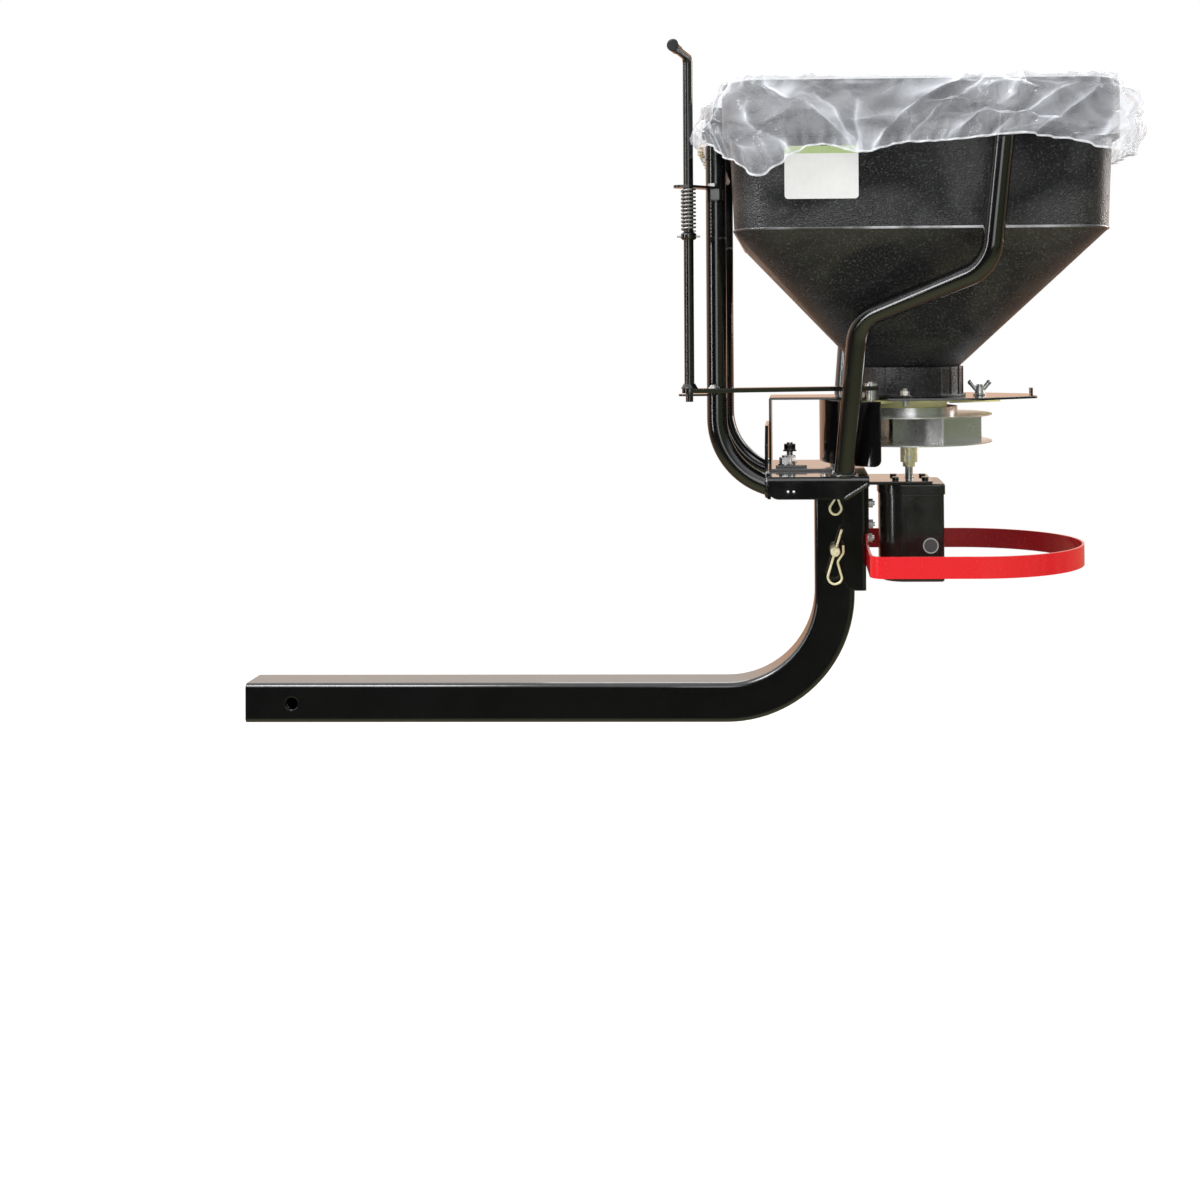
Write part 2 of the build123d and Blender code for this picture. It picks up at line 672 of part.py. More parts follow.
gate_bolts = []
gate_nuts = []
for angle in GATE_BOLT_ANGLES:
    x, y = polar(GATE_BOLT_R, angle)
    top = BRACKET_TOP_Z + 3
    gate_bolts.append(
        post(3.0, x, y, PLATE_BOTTOM_Z - 7, top + 9)
        + post(6.5, x, y, PLATE_BOTTOM_Z - 1.5, PLATE_BOTTOM_Z)
    )
    gate_nuts.append(hexagon(10, x, y, top + 1.2, top + 6.2) - post(3.0, x, y, top, top + 10))
    gate_nuts.append(post(7, x, y, top, top + 1.2) - post(3.0, x, y, top - 1, top + 10))
parts["gate_fasteners"] = group(*gate_bolts, *gate_nuts)


# ---------------------------------------------------------------- shutter with its arm and tail
LEVER_PIN_ANGLE = degrees(atan2(LEVER_PIN[1], LEVER_PIN[0] - AXIS_X))
LEVER_PIN_REACH = hypot(LEVER_PIN[0] - AXIS_X, LEVER_PIN[1])


def make_shutter():
    low, high = SHUTTER_BOTTOM, SHUTTER_TOP
    shutter = post(SHUTTER_R, AXIS_X, 0, low, high)
    arm_end = polar(ARM_REACH - ARM_HALF_WIDTH, LEVER_PIN_ANGLE)
    shutter += plan_bar(polar(40, LEVER_PIN_ANGLE), arm_end, ARM_HALF_WIDTH, low, high)
    tail_start = polar(45, SHUTTER_TAIL_ANGLE)
    tail_end = polar(SHUTTER_TAIL_R, SHUTTER_TAIL_ANGLE)
    shutter += plan_bar(tail_start, tail_end, 8.0, low, high)
    rib_start = polar(66, SHUTTER_TAIL_ANGLE)
    rib_end = polar(SHUTTER_TAIL_R - 4, SHUTTER_TAIL_ANGLE)
    shutter += plan_bar(rib_start, rib_end, 1.5, low - 5, high)
    shutter += post(50.0, AXIS_X, 0, low - 9, low) - post(47.0, AXIS_X, 0, low - 10, low)
    for port in gate_ports(low - 1, high + 1):
        shutter -= port
    shutter -= post(BUSH_R + RUNNING_GAP, AXIS_X, 0, low - 1, high + 1)
    slot_half = LEVER_PIN_R + LEVER_SLOT_CLEARANCE
    slot = plan_bar(
        polar(LEVER_PIN_REACH - 17, LEVER_PIN_ANGLE), polar(LEVER_PIN_REACH + 1, LEVER_PIN_ANGLE),
        slot_half, low - 1, high + 1,
    )
    return shutter - slot


parts["shutter"] = make_shutter()

# ---------------------------------------------------------------- wing-bolt stop
stop_x, stop_y = polar(STOP_R, STOP_ANGLE)
stop_bolt = post(STOP_BOLT_R, stop_x, stop_y, PLATE_BOTTOM_Z - 4, BRACKET_TOP_Z + 14)
stop_bolt += post(7.5, stop_x, stop_y, PLATE_BOTTOM_Z - 4, PLATE_BOTTOM_Z - 0.4)
stop_bolt += post(8.5, stop_x, stop_y, BRACKET_TOP_Z + 0.4, BRACKET_TOP_Z + 2)
parts["stop_bolt"] = stop_bolt

WING_Z = BRACKET_TOP_Z + 2.4
wing_nut = Pos(stop_x, stop_y, WING_Z) * extrude(Circle(6.5), 8, taper=8)
for side in (-1, 1):
    wing_root = Vector(stop_x + side * 4.5, stop_y, WING_Z + 5)
    wing_tip = Vector(stop_x + side * 12, stop_y, WING_Z + 14)
    wing = bar(3.0, wing_root, wing_tip)
    wing_nut += wing
    wing_nut += Pos(stop_x + side * 12, stop_y, WING_Z + 14) * Sphere(3.4)
wing_nut -= post(STOP_BOLT_R + RUNNING_GAP, stop_x, stop_y, WING_Z - 1, WING_Z + 30)
parts["wing_nut"] = wing_nut


# ---------------------------------------------------------------- spinner
def disc(radius, hole, bottom):
    plate = post(radius, AXIS_X, 0, bottom, bottom + DISC_THICK)
    return plate - post(hole, AXIS_X, 0, bottom - 1, bottom + 5)


def make_fin(index):
    """One flat vane, swept back from its inner to its outer edge."""
    angle = index * 360 / FIN_COUNT
    inner = polar(FIN_INNER_R, angle)
    outer = polar(FIN_OUTER_R, angle + FIN_SWEEP)
    return plan_bar(inner, outer, FIN_THICK / 2, BOTTOM_DISC_Z + DISC_THICK, TOP_DISC_Z)


parts["spinner_top_disc"] = disc(DISC_R, RING_R, TOP_DISC_Z)
parts["spinner_bottom_disc"] = disc(DISC_R, SHAFT_R, BOTTOM_DISC_Z)
parts["spinner_fins"] = group(*[make_fin(i) for i in range(FIN_COUNT)])
ring_top = TOP_DISC_Z + RING_HEIGHT
parts["spinner_ring"] = post(RING_R, AXIS_X, 0, TOP_DISC_Z, ring_top) - post(
    RING_R - DISC_THICK, AXIS_X, 0, TOP_DISC_Z - 1, ring_top + 1
)

SET_SCREW_Z = 312.0
hub = post(30.0, AXIS_X, 0, BOTTOM_DISC_Z - 3, BOTTOM_DISC_Z)
hub += post(11.0, AXIS_X, 0, 306.0, BOTTOM_DISC_Z - 3)
hub += post(8.0, AXIS_X, 0, 300.0, 306.0)
hub -= post(SHAFT_R, AXIS_X, 0, 290, 340)
hub -= bar(2.6, (AXIS_X, -20, SET_SCREW_Z), (AXIS_X, -SHAFT_R, SET_SCREW_Z))
parts["spinner_hub"] = hub
set_screw = bar(2.5, (AXIS_X, -9.5, SET_SCREW_Z), (AXIS_X, -SHAFT_R, SET_SCREW_Z))

SHAFT_BOTTOM = 246.0
SHAFT_TOP = 446.0
shaft = post(SHAFT_R, AXIS_X, 0, SHAFT_BOTTOM, SHAFT_TOP)
shaft -= across_y(2.0, AXIS_X, 438.0, 20)
parts["spinner_shaft"] = shaft

agitator_path = FilletPolyline(
    (AXIS_X, -36, 452), (AXIS_X, -30, 438), (AXIS_X, 30, 438), (AXIS_X, 36, 424), radius=5
)
parts["agitator_wire"] = rod_along(agitator_path, 1.9)

hub_bolts = []
for i in range(4):
    x, y = polar(22.0, 45 + i * 90)
    hub_bolts.append(
        post(2.5, x, y, BOTTOM_DISC_Z - 7, BOTTOM_DISC_Z + DISC_THICK)
        + post(5.0, x, y, BOTTOM_DISC_Z + DISC_THICK, BOTTOM_DISC_Z + DISC_THICK + 2.5)
        + hexagon(8, x, y, BOTTOM_DISC_Z - 7, BOTTOM_DISC_Z - 3)
    )
    parts["spinner_bottom_disc"] -= post(2.5, x, y, BOTTOM_DISC_Z - 1, BOTTOM_DISC_Z + 5)
    parts["spinner_hub"] -= post(2.5, x, y, BOTTOM_DISC_Z - 5, BOTTOM_DISC_Z + 5)
parts["hub_fasteners"] = group(*hub_bolts, set_screw)


# ---------------------------------------------------------------- motor
MOTOR_MID_X = (MOTOR_X[0] + MOTOR_X[1]) / 2
CAP_BOTTOM_Z = 268.0
CAP_LIP = 1.6
RECESS_DEPTH = 1.2


def motor_outline(inset, z):
    """D-shaped plan: the vehicle side is well rounded, the far side nearly square."""
    low_x, high_x = MOTOR_X[0] + inset, MOTOR_X[1] - inset
    half = MOTOR_HALF_Y - inset
    face = Pos((low_x + high_x) / 2, 0, z) * Rectangle(high_x - low_x, 2 * half)
    front = face.vertices().group_by(Axis.X)[0]
    face = fillet(front, 32 - inset)
    rear = face.vertices().group_by(Axis.X)[-1]
    return fillet(rear, 6 - inset)


def make_motor_cover():
    cover = extrude(motor_outline(CAP_LIP, MOTOR_Z[0]), CAP_BOTTOM_Z - MOTOR_Z[0])
    bottom_edges = cover.edges().group_by(Axis.Z)[0]
    cover = fillet(bottom_edges, 3)
    inner = extrude(motor_outline(CAP_LIP + MOTOR_WALL, MOTOR_Z[0] + MOTOR_WALL), MOTOR_Z[1])
    cover -= inner
    for side in (-1, 1):
        face_y = side * (MOTOR_HALF_Y - CAP_LIP)
        recess = Pos(814.5, face_y, 218.0) * Rot(90, 0, 0) * extrude(
            RectangleRounded(43, 84, 11), RECESS_DEPTH, both=True
        )
        cover -= recess
    cover -= Pos(MOTOR_MID_X + 20, 26, MOTOR_Z[0]) * Cylinder(6.0, 12)
    return cover


def make_motor_cap():
    cap = extrude(motor_outline(0, CAP_BOTTOM_Z), MOTOR_Z[1] - CAP_BOTTOM_Z)
    top_edges = cap.edges().group_by(Axis.Z)[-1]
    cap = fillet(top_edges, 2)
    cap -= extrude(motor_outline(CAP_LIP + MOTOR_WALL, CAP_BOTTOM_Z - 1), 10)
    cap -= post(14.0, AXIS_X, 0, CAP_BOTTOM_Z, MOTOR_Z[1] + 1)
    return cap


parts["motor_cover"] = make_motor_cover()
parts["motor_cap"] = make_motor_cap()
parts["cable_grommet"] = Pos(MOTOR_MID_X + 20, 26, MOTOR_Z[0] - 3) * (
    extrude(Circle(6.0), 9) + extrude(Circle(8.5), 3) - Cylinder(3.2, 40)
)
sticker_y = -(MOTOR_HALF_Y - CAP_LIP - RECESS_DEPTH)
sticker = Pos(824.5, sticker_y, 203.0) * Rot(90, 0, 0) * extrude(Circle(10.5), 0.4)
parts["motor_sticker"] = sticker

gearbox = box_between((AXIS_X - 26, -26, 232), (AXIS_X + 26, 26, 266))
gearbox = fillet(gearbox.edges().filter_by(Axis.Z), 8)
gearbox += post(14.0, AXIS_X, 0, 266, MOTOR_Z[1])
gearbox -= post(SHAFT_R + RUNNING_GAP, AXIS_X, 0, 240, 300)
parts["gearbox"] = gearbox
parts["dc_motor"] = post(25.0, AXIS_X, 0, 166, 232)


def make_motor_mount():
    plate = box_between((BASE_REAR_X, -47, MOTOR_Z[1]), (828.0, 47, MOUNT_PLATE_Z))
    outer_corners = plate.edges().filter_by(Axis.Z).group_by(Axis.X)[-1]
    plate = fillet(outer_corners, 8)
    leg = box_between((BASE_REAR_X, -24, 216.0), (BASE_REAR_X + SHEET, 24, MOTOR_Z[1]))
    mount = plate + leg
    mount -= post(SHAFT_R + 1.5, AXIS_X, 0, 270, 300)
    for z in CHANNEL_BOLT_Z[:2]:
        mount -= Pos(BASE_REAR_X, 0, z) * Rot(0, 90, 0) * Cylinder(3.3, 20)
    return mount


def make_channel_fasteners():
    """Three bolts through the channel web: heads inside the channel, nuts on the motor side."""
    bolts = []
    nuts = []
    for z in CHANNEL_BOLT_Z:
        upper = z > 216
        face = BASE_REAR_X + (SHEET if upper else HOOP_THICK)
        head = bar(6.0, (BASE_REAR_X - SHEET - 4, 0, z), (BASE_REAR_X - SHEET, 0, z))
        bolts.append(head + bar(3.0, (BASE_REAR_X - SHEET - 4, 0, z), (face + 9, 0, z)))
        nut = Pos(face + 1.2, 0, z) * Rot(0, 90, 0) * extrude(RegularPolygon(5, 6, major_radius=False), 5.5)
        nuts.append(nut - bar(3.0, (face, 0, z), (face + 12, 0, z)))
        washer = bar(6.5, (face, 0, z), (face + 1.2, 0, z))
        nuts.append(washer - bar(3.0, (face - 1, 0, z), (face + 12, 0, z)))
    return group(*bolts), group(*nuts)


parts["motor_mount"] = make_motor_mount()
channel_bolts, channel_nuts = make_channel_fasteners()
parts["channel_fasteners"] = group(channel_bolts, channel_nuts)

mount_screws = []
for side_x in (-1, 1):
    for side_y in (-1, 1):
        x = AXIS_X + side_x * 19
        y = side_y * 19
        screw = post(2.5, x, y, 256, MOUNT_PLATE_Z) + post(4.5, x, y, MOUNT_PLATE_Z, MOUNT_PLATE_Z + 3)
        mount_screws.append(screw)
        for name in ("motor_mount", "motor_cap", "gearbox"):
            parts[name] -= post(2.5, x, y, 255, 300)
parts["motor_screws"] = group(*mount_screws)


# ---------------------------------------------------------------- guard hoop
def hoop_outline(inset, z):
    """Straight back and sides with a half-ellipse nose."""
    back_x = BASE_REAR_X + inset
    half = HOOP_HALF_Y - inset
    body = Pos((back_x + HOOP_ELLIPSE_X) / 2, 0, z) * Rectangle(HOOP_ELLIPSE_X - back_x, 2 * half)
    body = fillet(body.vertices().group_by(Axis.X)[0], HOOP_REAR_R - inset)
    reach = HOOP_ELLIPSE_A - inset
    nose = Pos(HOOP_ELLIPSE_X, 0, z) * Ellipse(reach, half)
    nose -= Pos(HOOP_ELLIPSE_X - reach, 0, z) * Rectangle(2 * reach, 2 * HOOP_HALF_Y)
    return body + nose


def make_hoop():
    low, high = HOOP_Z
    hoop = extrude(hoop_outline(0, low), high - low)
    hoop -= extrude(hoop_outline(HOOP_THICK, low - 1), high - low + 2)
    tab = box_between((BASE_REAR_X, -15, low), (BASE_REAR_X + HOOP_THICK, 15, 215.0))
    hoop += tab
    lowest = CHANNEL_BOLT_Z[-1]
    hoop -= Pos(BASE_REAR_X, 0, lowest) * Rot(0, 90, 0) * Cylinder(3.3, 20)
    return hoop


parts["guard_hoop"] = make_hoop()


# ---------------------------------------------------------------- lock pins and clips
CLIP_WIRE_R = 1.5
CLIP_Y = -43.0
CLIP_TILTS = (0.0, 17.0)
# each clip's centre line beside its pin, from the straight leg's top to the free end
CLIP_LINES = (
    [(0, 16), (0, -13), (-8, -25), (0, -36.5), (9, -26), (3.5, -11), (8.8, 0), (4.5, 11)],
    [(0, 29), (0, -35), (9, -43), (20, -33), (6.5, -12), (10.5, 1), (7.5, 10)],
)
CLIP_BENDS = ([8, 7, 6.5, 6, 7, 5], [8, 8, 7, 7, 5])


def make_lock_pin(z, tilt):
    pin = bar(LOCK_PIN_R, (SHANK_POST_X, -50, z), (SHANK_POST_X, 40, z))
    pin = chamfer(pin.edges().group_by(Axis.Y)[0], 1.5)
    pin += bar(9.0, (SHANK_POST_X, 36, z), (SHANK_POST_X, 40, z))
    hole = Pos(SHANK_POST_X, CLIP_Y, z) * Rot(0, tilt, 0) * Cylinder(CLIP_WIRE_R + 0.35, 30)
    return pin - hole


def make_clip(z, tilt, line, bends):
    """Spring clip: one straight leg through the pin, one that grips its outside."""
    path = FilletPolyline(*[(x, 0, h) for x, h in line], radius=bends)
    return Pos(SHANK_POST_X, CLIP_Y, z) * Rot(0, tilt, 0) * rod_along(path, CLIP_WIRE_R)


clip_places = list(zip(LOCK_PIN_Z, CLIP_TILTS, CLIP_LINES, CLIP_BENDS))
parts["lock_pins"] = group(*[make_lock_pin(z, tilt) for z, tilt, _, _ in clip_places])
parts["hairpin_clips"] = group(*[make_clip(*place) for place in clip_places])


# ---------------------------------------------------------------- control rod, lever and supports
LEVER_TOP = LEVER_Z + LEVER_THICK
TAB_TOP = LEVER_Z - 1.0
TAB_BOTTOM = TAB_TOP - 2.5
PIVOT_R = 4.5
COLLAR_BOTTOM_Z = COLLAR_TOP_Z - 9
HANDLE_BEND = Vector(ROD_X, ROD_Y, ROD_TOP_Z)
HANDLE_END = HANDLE_BEND + Vector(*HANDLE_REACH, 0)


def make_rod():
    path = FilletPolyline(Vector(ROD_X, ROD_Y, LEVER_TOP), HANDLE_BEND, HANDLE_END, radius=9)
    rod = rod_along(path, ROD_R)
    rod += post(PIVOT_R, ROD_X, ROD_Y, TAB_BOTTOM - 7, LEVER_TOP)
    rod -= Pos(ROD_X, ROD_Y, COLLAR_BOTTOM_Z + 4.5) * Rot(0, 90, 0) * Cylinder(1.8, 30)
    return rod


def make_lever():
    lever = plan_bar((ROD_X, ROD_Y), LEVER_PIN, LEVER_HALF_WIDTH, LEVER_Z, LEVER_TOP)
    lever -= post(PIVOT_R, ROD_X, ROD_Y, LEVER_Z - 1, LEVER_TOP + 1)
    lever -= post(LEVER_PIN_R, *LEVER_PIN, LEVER_Z - 1, LEVER_TOP + 1)
    return lever


lever_angle = degrees(atan2(LEVER_PIN[1] - ROD_Y, LEVER_PIN[0] - ROD_X))
rivet_x, rivet_y = polar(30.0, lever_angle, (ROD_X, ROD_Y))
rod_boss = Pos(ROD_X, ROD_Y, LEVER_TOP) * extrude(Circle(10.5), 6, taper=30)
rod_boss -= post(ROD_R, ROD_X, ROD_Y, LEVER_TOP - 1, LEVER_TOP + 10)
lever = make_lever()
lever -= post(3.0, rivet_x, rivet_y, LEVER_Z - 1, LEVER_TOP + 1)

parts["control_rod"] = make_rod()
parts["lever_bar"] = lever
parts["rod_boss"] = rod_boss
rivet = post(3.0, rivet_x, rivet_y, LEVER_Z, LEVER_TOP)
rivet += Pos(rivet_x, rivet_y, LEVER_TOP) * extrude(Circle(7.0), 4, taper=40)
parts["lever_pin"] = (
    post(LEVER_PIN_R, *LEVER_PIN, SHUTTER_BOTTOM - 4, LEVER_TOP + 5)
    + post(8.0, *LEVER_PIN, LEVER_TOP, LEVER_TOP + 3)
    + post(6.0, *LEVER_PIN, SHUTTER_TOP + 1.0, LEVER_Z)
)

# a plated sleeve fixed under the lever, just short of the pin
SLEEVE_R = 4.4
SLEEVE_SPAN = (190.0, 218.0)
sleeve_ends = [
    (*polar(reach, lever_angle, (ROD_X, ROD_Y)), LEVER_Z - SLEEVE_R) for reach in SLEEVE_SPAN
]
parts["lever_sleeve"] = bar(SLEEVE_R, *sleeve_ends)

handle_way = (HANDLE_END - HANDLE_BEND).normalized()
handle_cap = bar(7.2, HANDLE_END - handle_way * 14, HANDLE_END + handle_way * 2.5)
handle_cap -= bar(ROD_R, HANDLE_END - handle_way * 20, HANDLE_END)
parts["handle_cap"] = handle_cap

rod_collar = post(9.5, ROD_X, ROD_Y, COLLAR_BOTTOM_Z, COLLAR_TOP_Z)
rod_collar = chamfer(rod_collar.edges().filter_by(GeomType.CIRCLE), 2.0)
rod_collar -= post(ROD_R, ROD_X, ROD_Y, COLLAR_BOTTOM_Z - 1, COLLAR_TOP_Z + 1)
cotter_z = COLLAR_BOTTOM_Z + 4.5
rod_collar -= Pos(ROD_X, ROD_Y, cotter_z) * Rot(0, 90, 0) * Cylinder(1.8, 30)
parts["rod_collar"] = rod_collar
cotter = bar(1.6, (ROD_X - 14, ROD_Y, cotter_z), (ROD_X + 14, ROD_Y, cotter_z))
parts["rod_fasteners"] = group(rivet, cotter)

guide_start = (ROD_X - 10, ROD_Y)
clamp_x, clamp_y = POST_X - 3, -POST_Y - TUBE_R - 6
guide = plan_bar(guide_start, (ROD_X, ROD_Y), 8.0, GUIDE_Z, GUIDE_Z + 3)
guide += plan_bar((ROD_X, ROD_Y), (clamp_x, clamp_y), 8.0, GUIDE_Z, GUIDE_Z + 3)
guide -= post(TUBE_R, POST_X, -POST_Y, GUIDE_Z - 1, GUIDE_Z + 5)
guide -= post(ROD_R + RUNNING_GAP, ROD_X, ROD_Y, GUIDE_Z - 1, GUIDE_Z + 4)
guide -= post(3.0, clamp_x, clamp_y, GUIDE_Z - 1, GUIDE_Z + 4)
parts["rod_guide"] = guide

clamp = box_between((POST_X - 10, clamp_y - 8, GUIDE_Z - 14), (POST_X + 10, clamp_y + 10, GUIDE_Z))
clamp = fillet(clamp.edges().filter_by(Axis.Z).group_by(Axis.Y)[0], 5)
clamp -= post(TUBE_R, POST_X, -POST_Y, GUIDE_Z - 20, GUIDE_Z + 5)
clamp -= post(3.0, clamp_x, clamp_y, GUIDE_Z - 20, GUIDE_Z + 5)
parts["guide_clamp"] = clamp
parts["guide_bolt"] = group(
    post(3.0, clamp_x, clamp_y, GUIDE_Z - 14, GUIDE_Z + 3)
    + hexagon(10, clamp_x, clamp_y, GUIDE_Z + 3, GUIDE_Z + 7)
)

spring_bottom = COLLAR_TOP_Z + 0.4
spring_top = GUIDE_Z - 0.6
coil_height = spring_top - spring_bottom - 2 * SPRING_WIRE_R
helix = Pos(ROD_X, ROD_Y, spring_bottom + SPRING_WIRE_R) * Helix(
    coil_height / SPRING_TURNS, coil_height, SPRING_R
)
parts["rod_spring"] = rod_along(helix, SPRING_WIRE_R)

rod_tab = plan_bar((ROD_X - 4, ROD_Y), (ROD_X + 18, ROD_Y + 4), 9.0, TAB_BOTTOM, TAB_TOP)
rod_tab += plan_prism(
    [
        (ROD_X - 2, ROD_Y + 4), (ROD_X + 26, ROD_Y + 2),
        (POST_X + 4, -POST_Y - 4), (POST_X - 12, -POST_Y - 2),
    ],
    TAB_BOTTOM, TAB_TOP,
)
rod_tab -= post(TUBE_R, POST_X, -POST_Y, TAB_BOTTOM - 1, TAB_TOP + 1)
rod_tab -= post(PIVOT_R + RUNNING_GAP, ROD_X, ROD_Y, TAB_BOTTOM - 1, TAB_TOP + 1)
parts["lower_rod_tab"] = rod_tab


# ---------------------------------------------------------------- rain cover
def make_cover():
    """A closed cap with the open hem below: the soft film bag that slips over the rim."""
    length = COVER_X[1] - COVER_X[0]
    middle = (COVER_X[0] + COVER_X[1]) / 2
    outer = (length, 2 * COVER_HALF_Y, COVER_CORNER)
    low, high = COVER_Z
    cover = rounded_prism(outer, low, high - low, middle)
    return cover - rounded_prism(shrunk(outer, COVER_WALL), low - 1, high - low - COVER_WALL + 1, middle)


parts["rain_cover"] = make_cover()

# ---------------------------------------------------------------- write one STEP per node
os.makedirs("parts", exist_ok=True)
for name, shape in parts.items():
    export_step(shape, f"parts/{name}.step")
print(len(parts), "nodes")
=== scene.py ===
"""Looks, film cover, weld beads, light and camera for the hitch-mounted broadcast spreader.

Metres. The origin is the hitch-pin hole, +X points away from the vehicle, +Z up, and the control
rod stands on the -Y side.
"""

import json
import math
import random

import bpy
from mathutils import Matrix, Vector, noise


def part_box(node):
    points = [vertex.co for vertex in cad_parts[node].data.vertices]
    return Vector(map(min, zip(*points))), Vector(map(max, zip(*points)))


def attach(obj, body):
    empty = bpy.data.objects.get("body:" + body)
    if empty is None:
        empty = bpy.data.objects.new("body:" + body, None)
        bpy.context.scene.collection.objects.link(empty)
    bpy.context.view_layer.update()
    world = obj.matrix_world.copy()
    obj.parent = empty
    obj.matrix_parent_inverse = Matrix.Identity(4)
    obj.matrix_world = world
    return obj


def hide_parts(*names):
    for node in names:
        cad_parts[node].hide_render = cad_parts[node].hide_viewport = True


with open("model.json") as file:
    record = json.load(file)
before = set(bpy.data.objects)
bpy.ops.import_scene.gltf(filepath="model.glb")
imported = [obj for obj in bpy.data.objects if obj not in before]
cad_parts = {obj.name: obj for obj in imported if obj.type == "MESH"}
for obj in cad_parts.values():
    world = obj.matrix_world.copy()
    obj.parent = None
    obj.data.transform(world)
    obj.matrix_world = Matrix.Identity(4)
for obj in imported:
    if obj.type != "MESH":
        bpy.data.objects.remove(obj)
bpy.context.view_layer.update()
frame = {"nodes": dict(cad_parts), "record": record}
random.seed(7)

scene = bpy.context.scene
OUTLET_X = 0.801  # the hopper's and the spinner's centre line


# ---------------------------------------------------------------- material helpers
class Surface:
    """One Principled material, with short calls that add procedural nodes to it."""

    def __init__(self, name, **values):
        self.material = bpy.data.materials.new(name)
        self.material.use_nodes = True
        self.tree = self.material.node_tree
        self.shader = self.tree.nodes["Principled BSDF"]
        for key, value in values.items():
            self.shader.inputs[key.replace("_", " ")].default_value = value
        self.place = self.tree.nodes.new("ShaderNodeTexCoord").outputs["Object"]
        self.normal = None

    def node(self, kind, inputs=(), **settings):
        made = self.tree.nodes.new(kind)
        for key, value in settings.items():
            setattr(made, key, value)
        for key, value in dict(inputs).items():
            if isinstance(value, bpy.types.NodeSocket):
                self.tree.links.new(value, made.inputs[key])
            else:
                made.inputs[key].default_value = value
        return made

    def noise(self, scale, detail=3.0, rough=0.5, stretch=(1, 1, 1), distortion=0.0):
        """A noise value; the scale is in cells per metre, and stretch multiplies it along each axis."""
        mapping = self.node("ShaderNodeMapping", {"Vector": self.place, "Scale": stretch})
        texture = self.node("ShaderNodeTexNoise", {
            "Vector": mapping.outputs["Vector"], "Scale": scale, "Detail": detail,
            "Roughness": rough, "Distortion": distortion,
        })
        return texture.outputs["Fac"]

    def cells(self, scale, feature="F1"):
        inputs = {"Vector": self.place, "Scale": scale}
        return self.node("ShaderNodeTexVoronoi", inputs, feature=feature).outputs["Distance"]

    def math(self, operation, a, b=0.0, clamp=False):
        made = self.node("ShaderNodeMath", {0: a, 1: b}, operation=operation, use_clamp=clamp)
        return made.outputs[0]

    def spread(self, value, low, high, to_low=0.0, to_high=1.0):
        """Maps a value from one range to another, and stops at its ends."""
        return self.node("ShaderNodeMapRange", {
            "Value": value, "From Min": low, "From Max": high, "To Min": to_low, "To Max": to_high,
        }).outputs["Result"]

    def mix(self, factor, first, second):
        made = self.node("ShaderNodeMix", {0: factor}, data_type="RGBA")
        for socket, value in ((made.inputs[6], first), (made.inputs[7], second)):
            if isinstance(value, bpy.types.NodeSocket):
                self.tree.links.new(value, socket)
            else:
                socket.default_value = (*value, 1.0)
        return made.outputs[2]

    def upward(self, low=0.5, high=1.0):
        """How much a face looks up, from 0 to 1."""
        geometry = self.node("ShaderNodeNewGeometry")
        split = self.node("ShaderNodeSeparateXYZ", {0: geometry.outputs["Normal"]})
        return self.spread(split.outputs["Z"], low, high)

    def round_edges(self, radius):
        """Shades edges as if they were rounded, so that they catch the light."""
        self.normal = self.node("ShaderNodeBevel", {"Radius": radius}, samples=6).outputs["Normal"]

    def bump(self, height, strength, distance=0.001):
        inputs = {"Height": height, "Strength": strength, "Distance": distance}
        if self.normal is not None:
            inputs["Normal"] = self.normal
        self.normal = self.node("ShaderNodeBump", inputs).outputs["Normal"]

    def wire(self, **links):
        for key, value in links.items():
            self.tree.links.new(value, self.shader.inputs[key.replace("_", " ")])
        if self.normal is not None:
            self.tree.links.new(self.normal, self.shader.inputs["Normal"])
        return self.material


# ---------------------------------------------------------------- materials
def powder_coat():
    """Gloss black powder coat: slight orange peel, faint dust on top faces."""
    s = Surface("black_powder_coat", Specular_IOR_Level=0.65, Coat_Weight=0.8, Coat_Roughness=0.04)
    tone = s.mix(s.noise(9, 4), (0.0014, 0.0014, 0.0016), (0.004, 0.004, 0.0044))
    s.round_edges(0.0028)
    patches = s.spread(s.noise(26, 6, 0.65), 0.46, 0.78, 0.0, 0.10)
    dust = s.math("MULTIPLY", s.upward(0.55, 1.0), patches)
    s.bump(s.noise(420, 2), 0.10, 0.0004)
    s.bump(s.noise(60, 2), 0.05, 0.001)
    return s.wire(
        Base_Color=s.mix(dust, tone, (0.16, 0.15, 0.13)),
        Roughness=s.spread(s.noise(38, 5, 0.6), 0.35, 0.7, 0.07, 0.17),
    )


def hopper_poly():
    """Moulded black polyethylene: pebble grain with pale specks, soft gloss, faint scuffs."""
    s = Surface("black_poly", Sheen_Weight=0.05, Sheen_Roughness=0.4)
    s.round_edges(0.004)
    tone = s.mix(s.noise(14, 5, 0.6), (0.0045, 0.0045, 0.005), (0.011, 0.011, 0.012))
    specks = s.spread(s.noise(430, 3, 0.65), 0.54, 0.68, 0.0, 0.85)
    speckled = s.mix(specks, tone, (0.062, 0.063, 0.066))
    scuffs = s.spread(s.noise(30, 7, 0.7, (1.0, 1.0, 5.0), 0.6), 0.66, 0.74, 0.0, 0.16)
    s.bump(s.cells(520), 0.55, 0.0009)
    s.bump(s.noise(1100, 2), 0.2, 0.0005)
    s.bump(s.noise(11, 2), 0.18, 0.006)
    return s.wire(
        Base_Color=s.mix(scuffs, speckled, (0.09, 0.09, 0.09)),
        Specular_IOR_Level=s.spread(s.noise(5.5, 2, 0.5, (1, 1, 1.6), 1.4), 0.38, 0.62, 0.16, 0.85),
        Roughness=s.spread(s.noise(45, 4), 0.3, 0.7, 0.24, 0.36),
    )


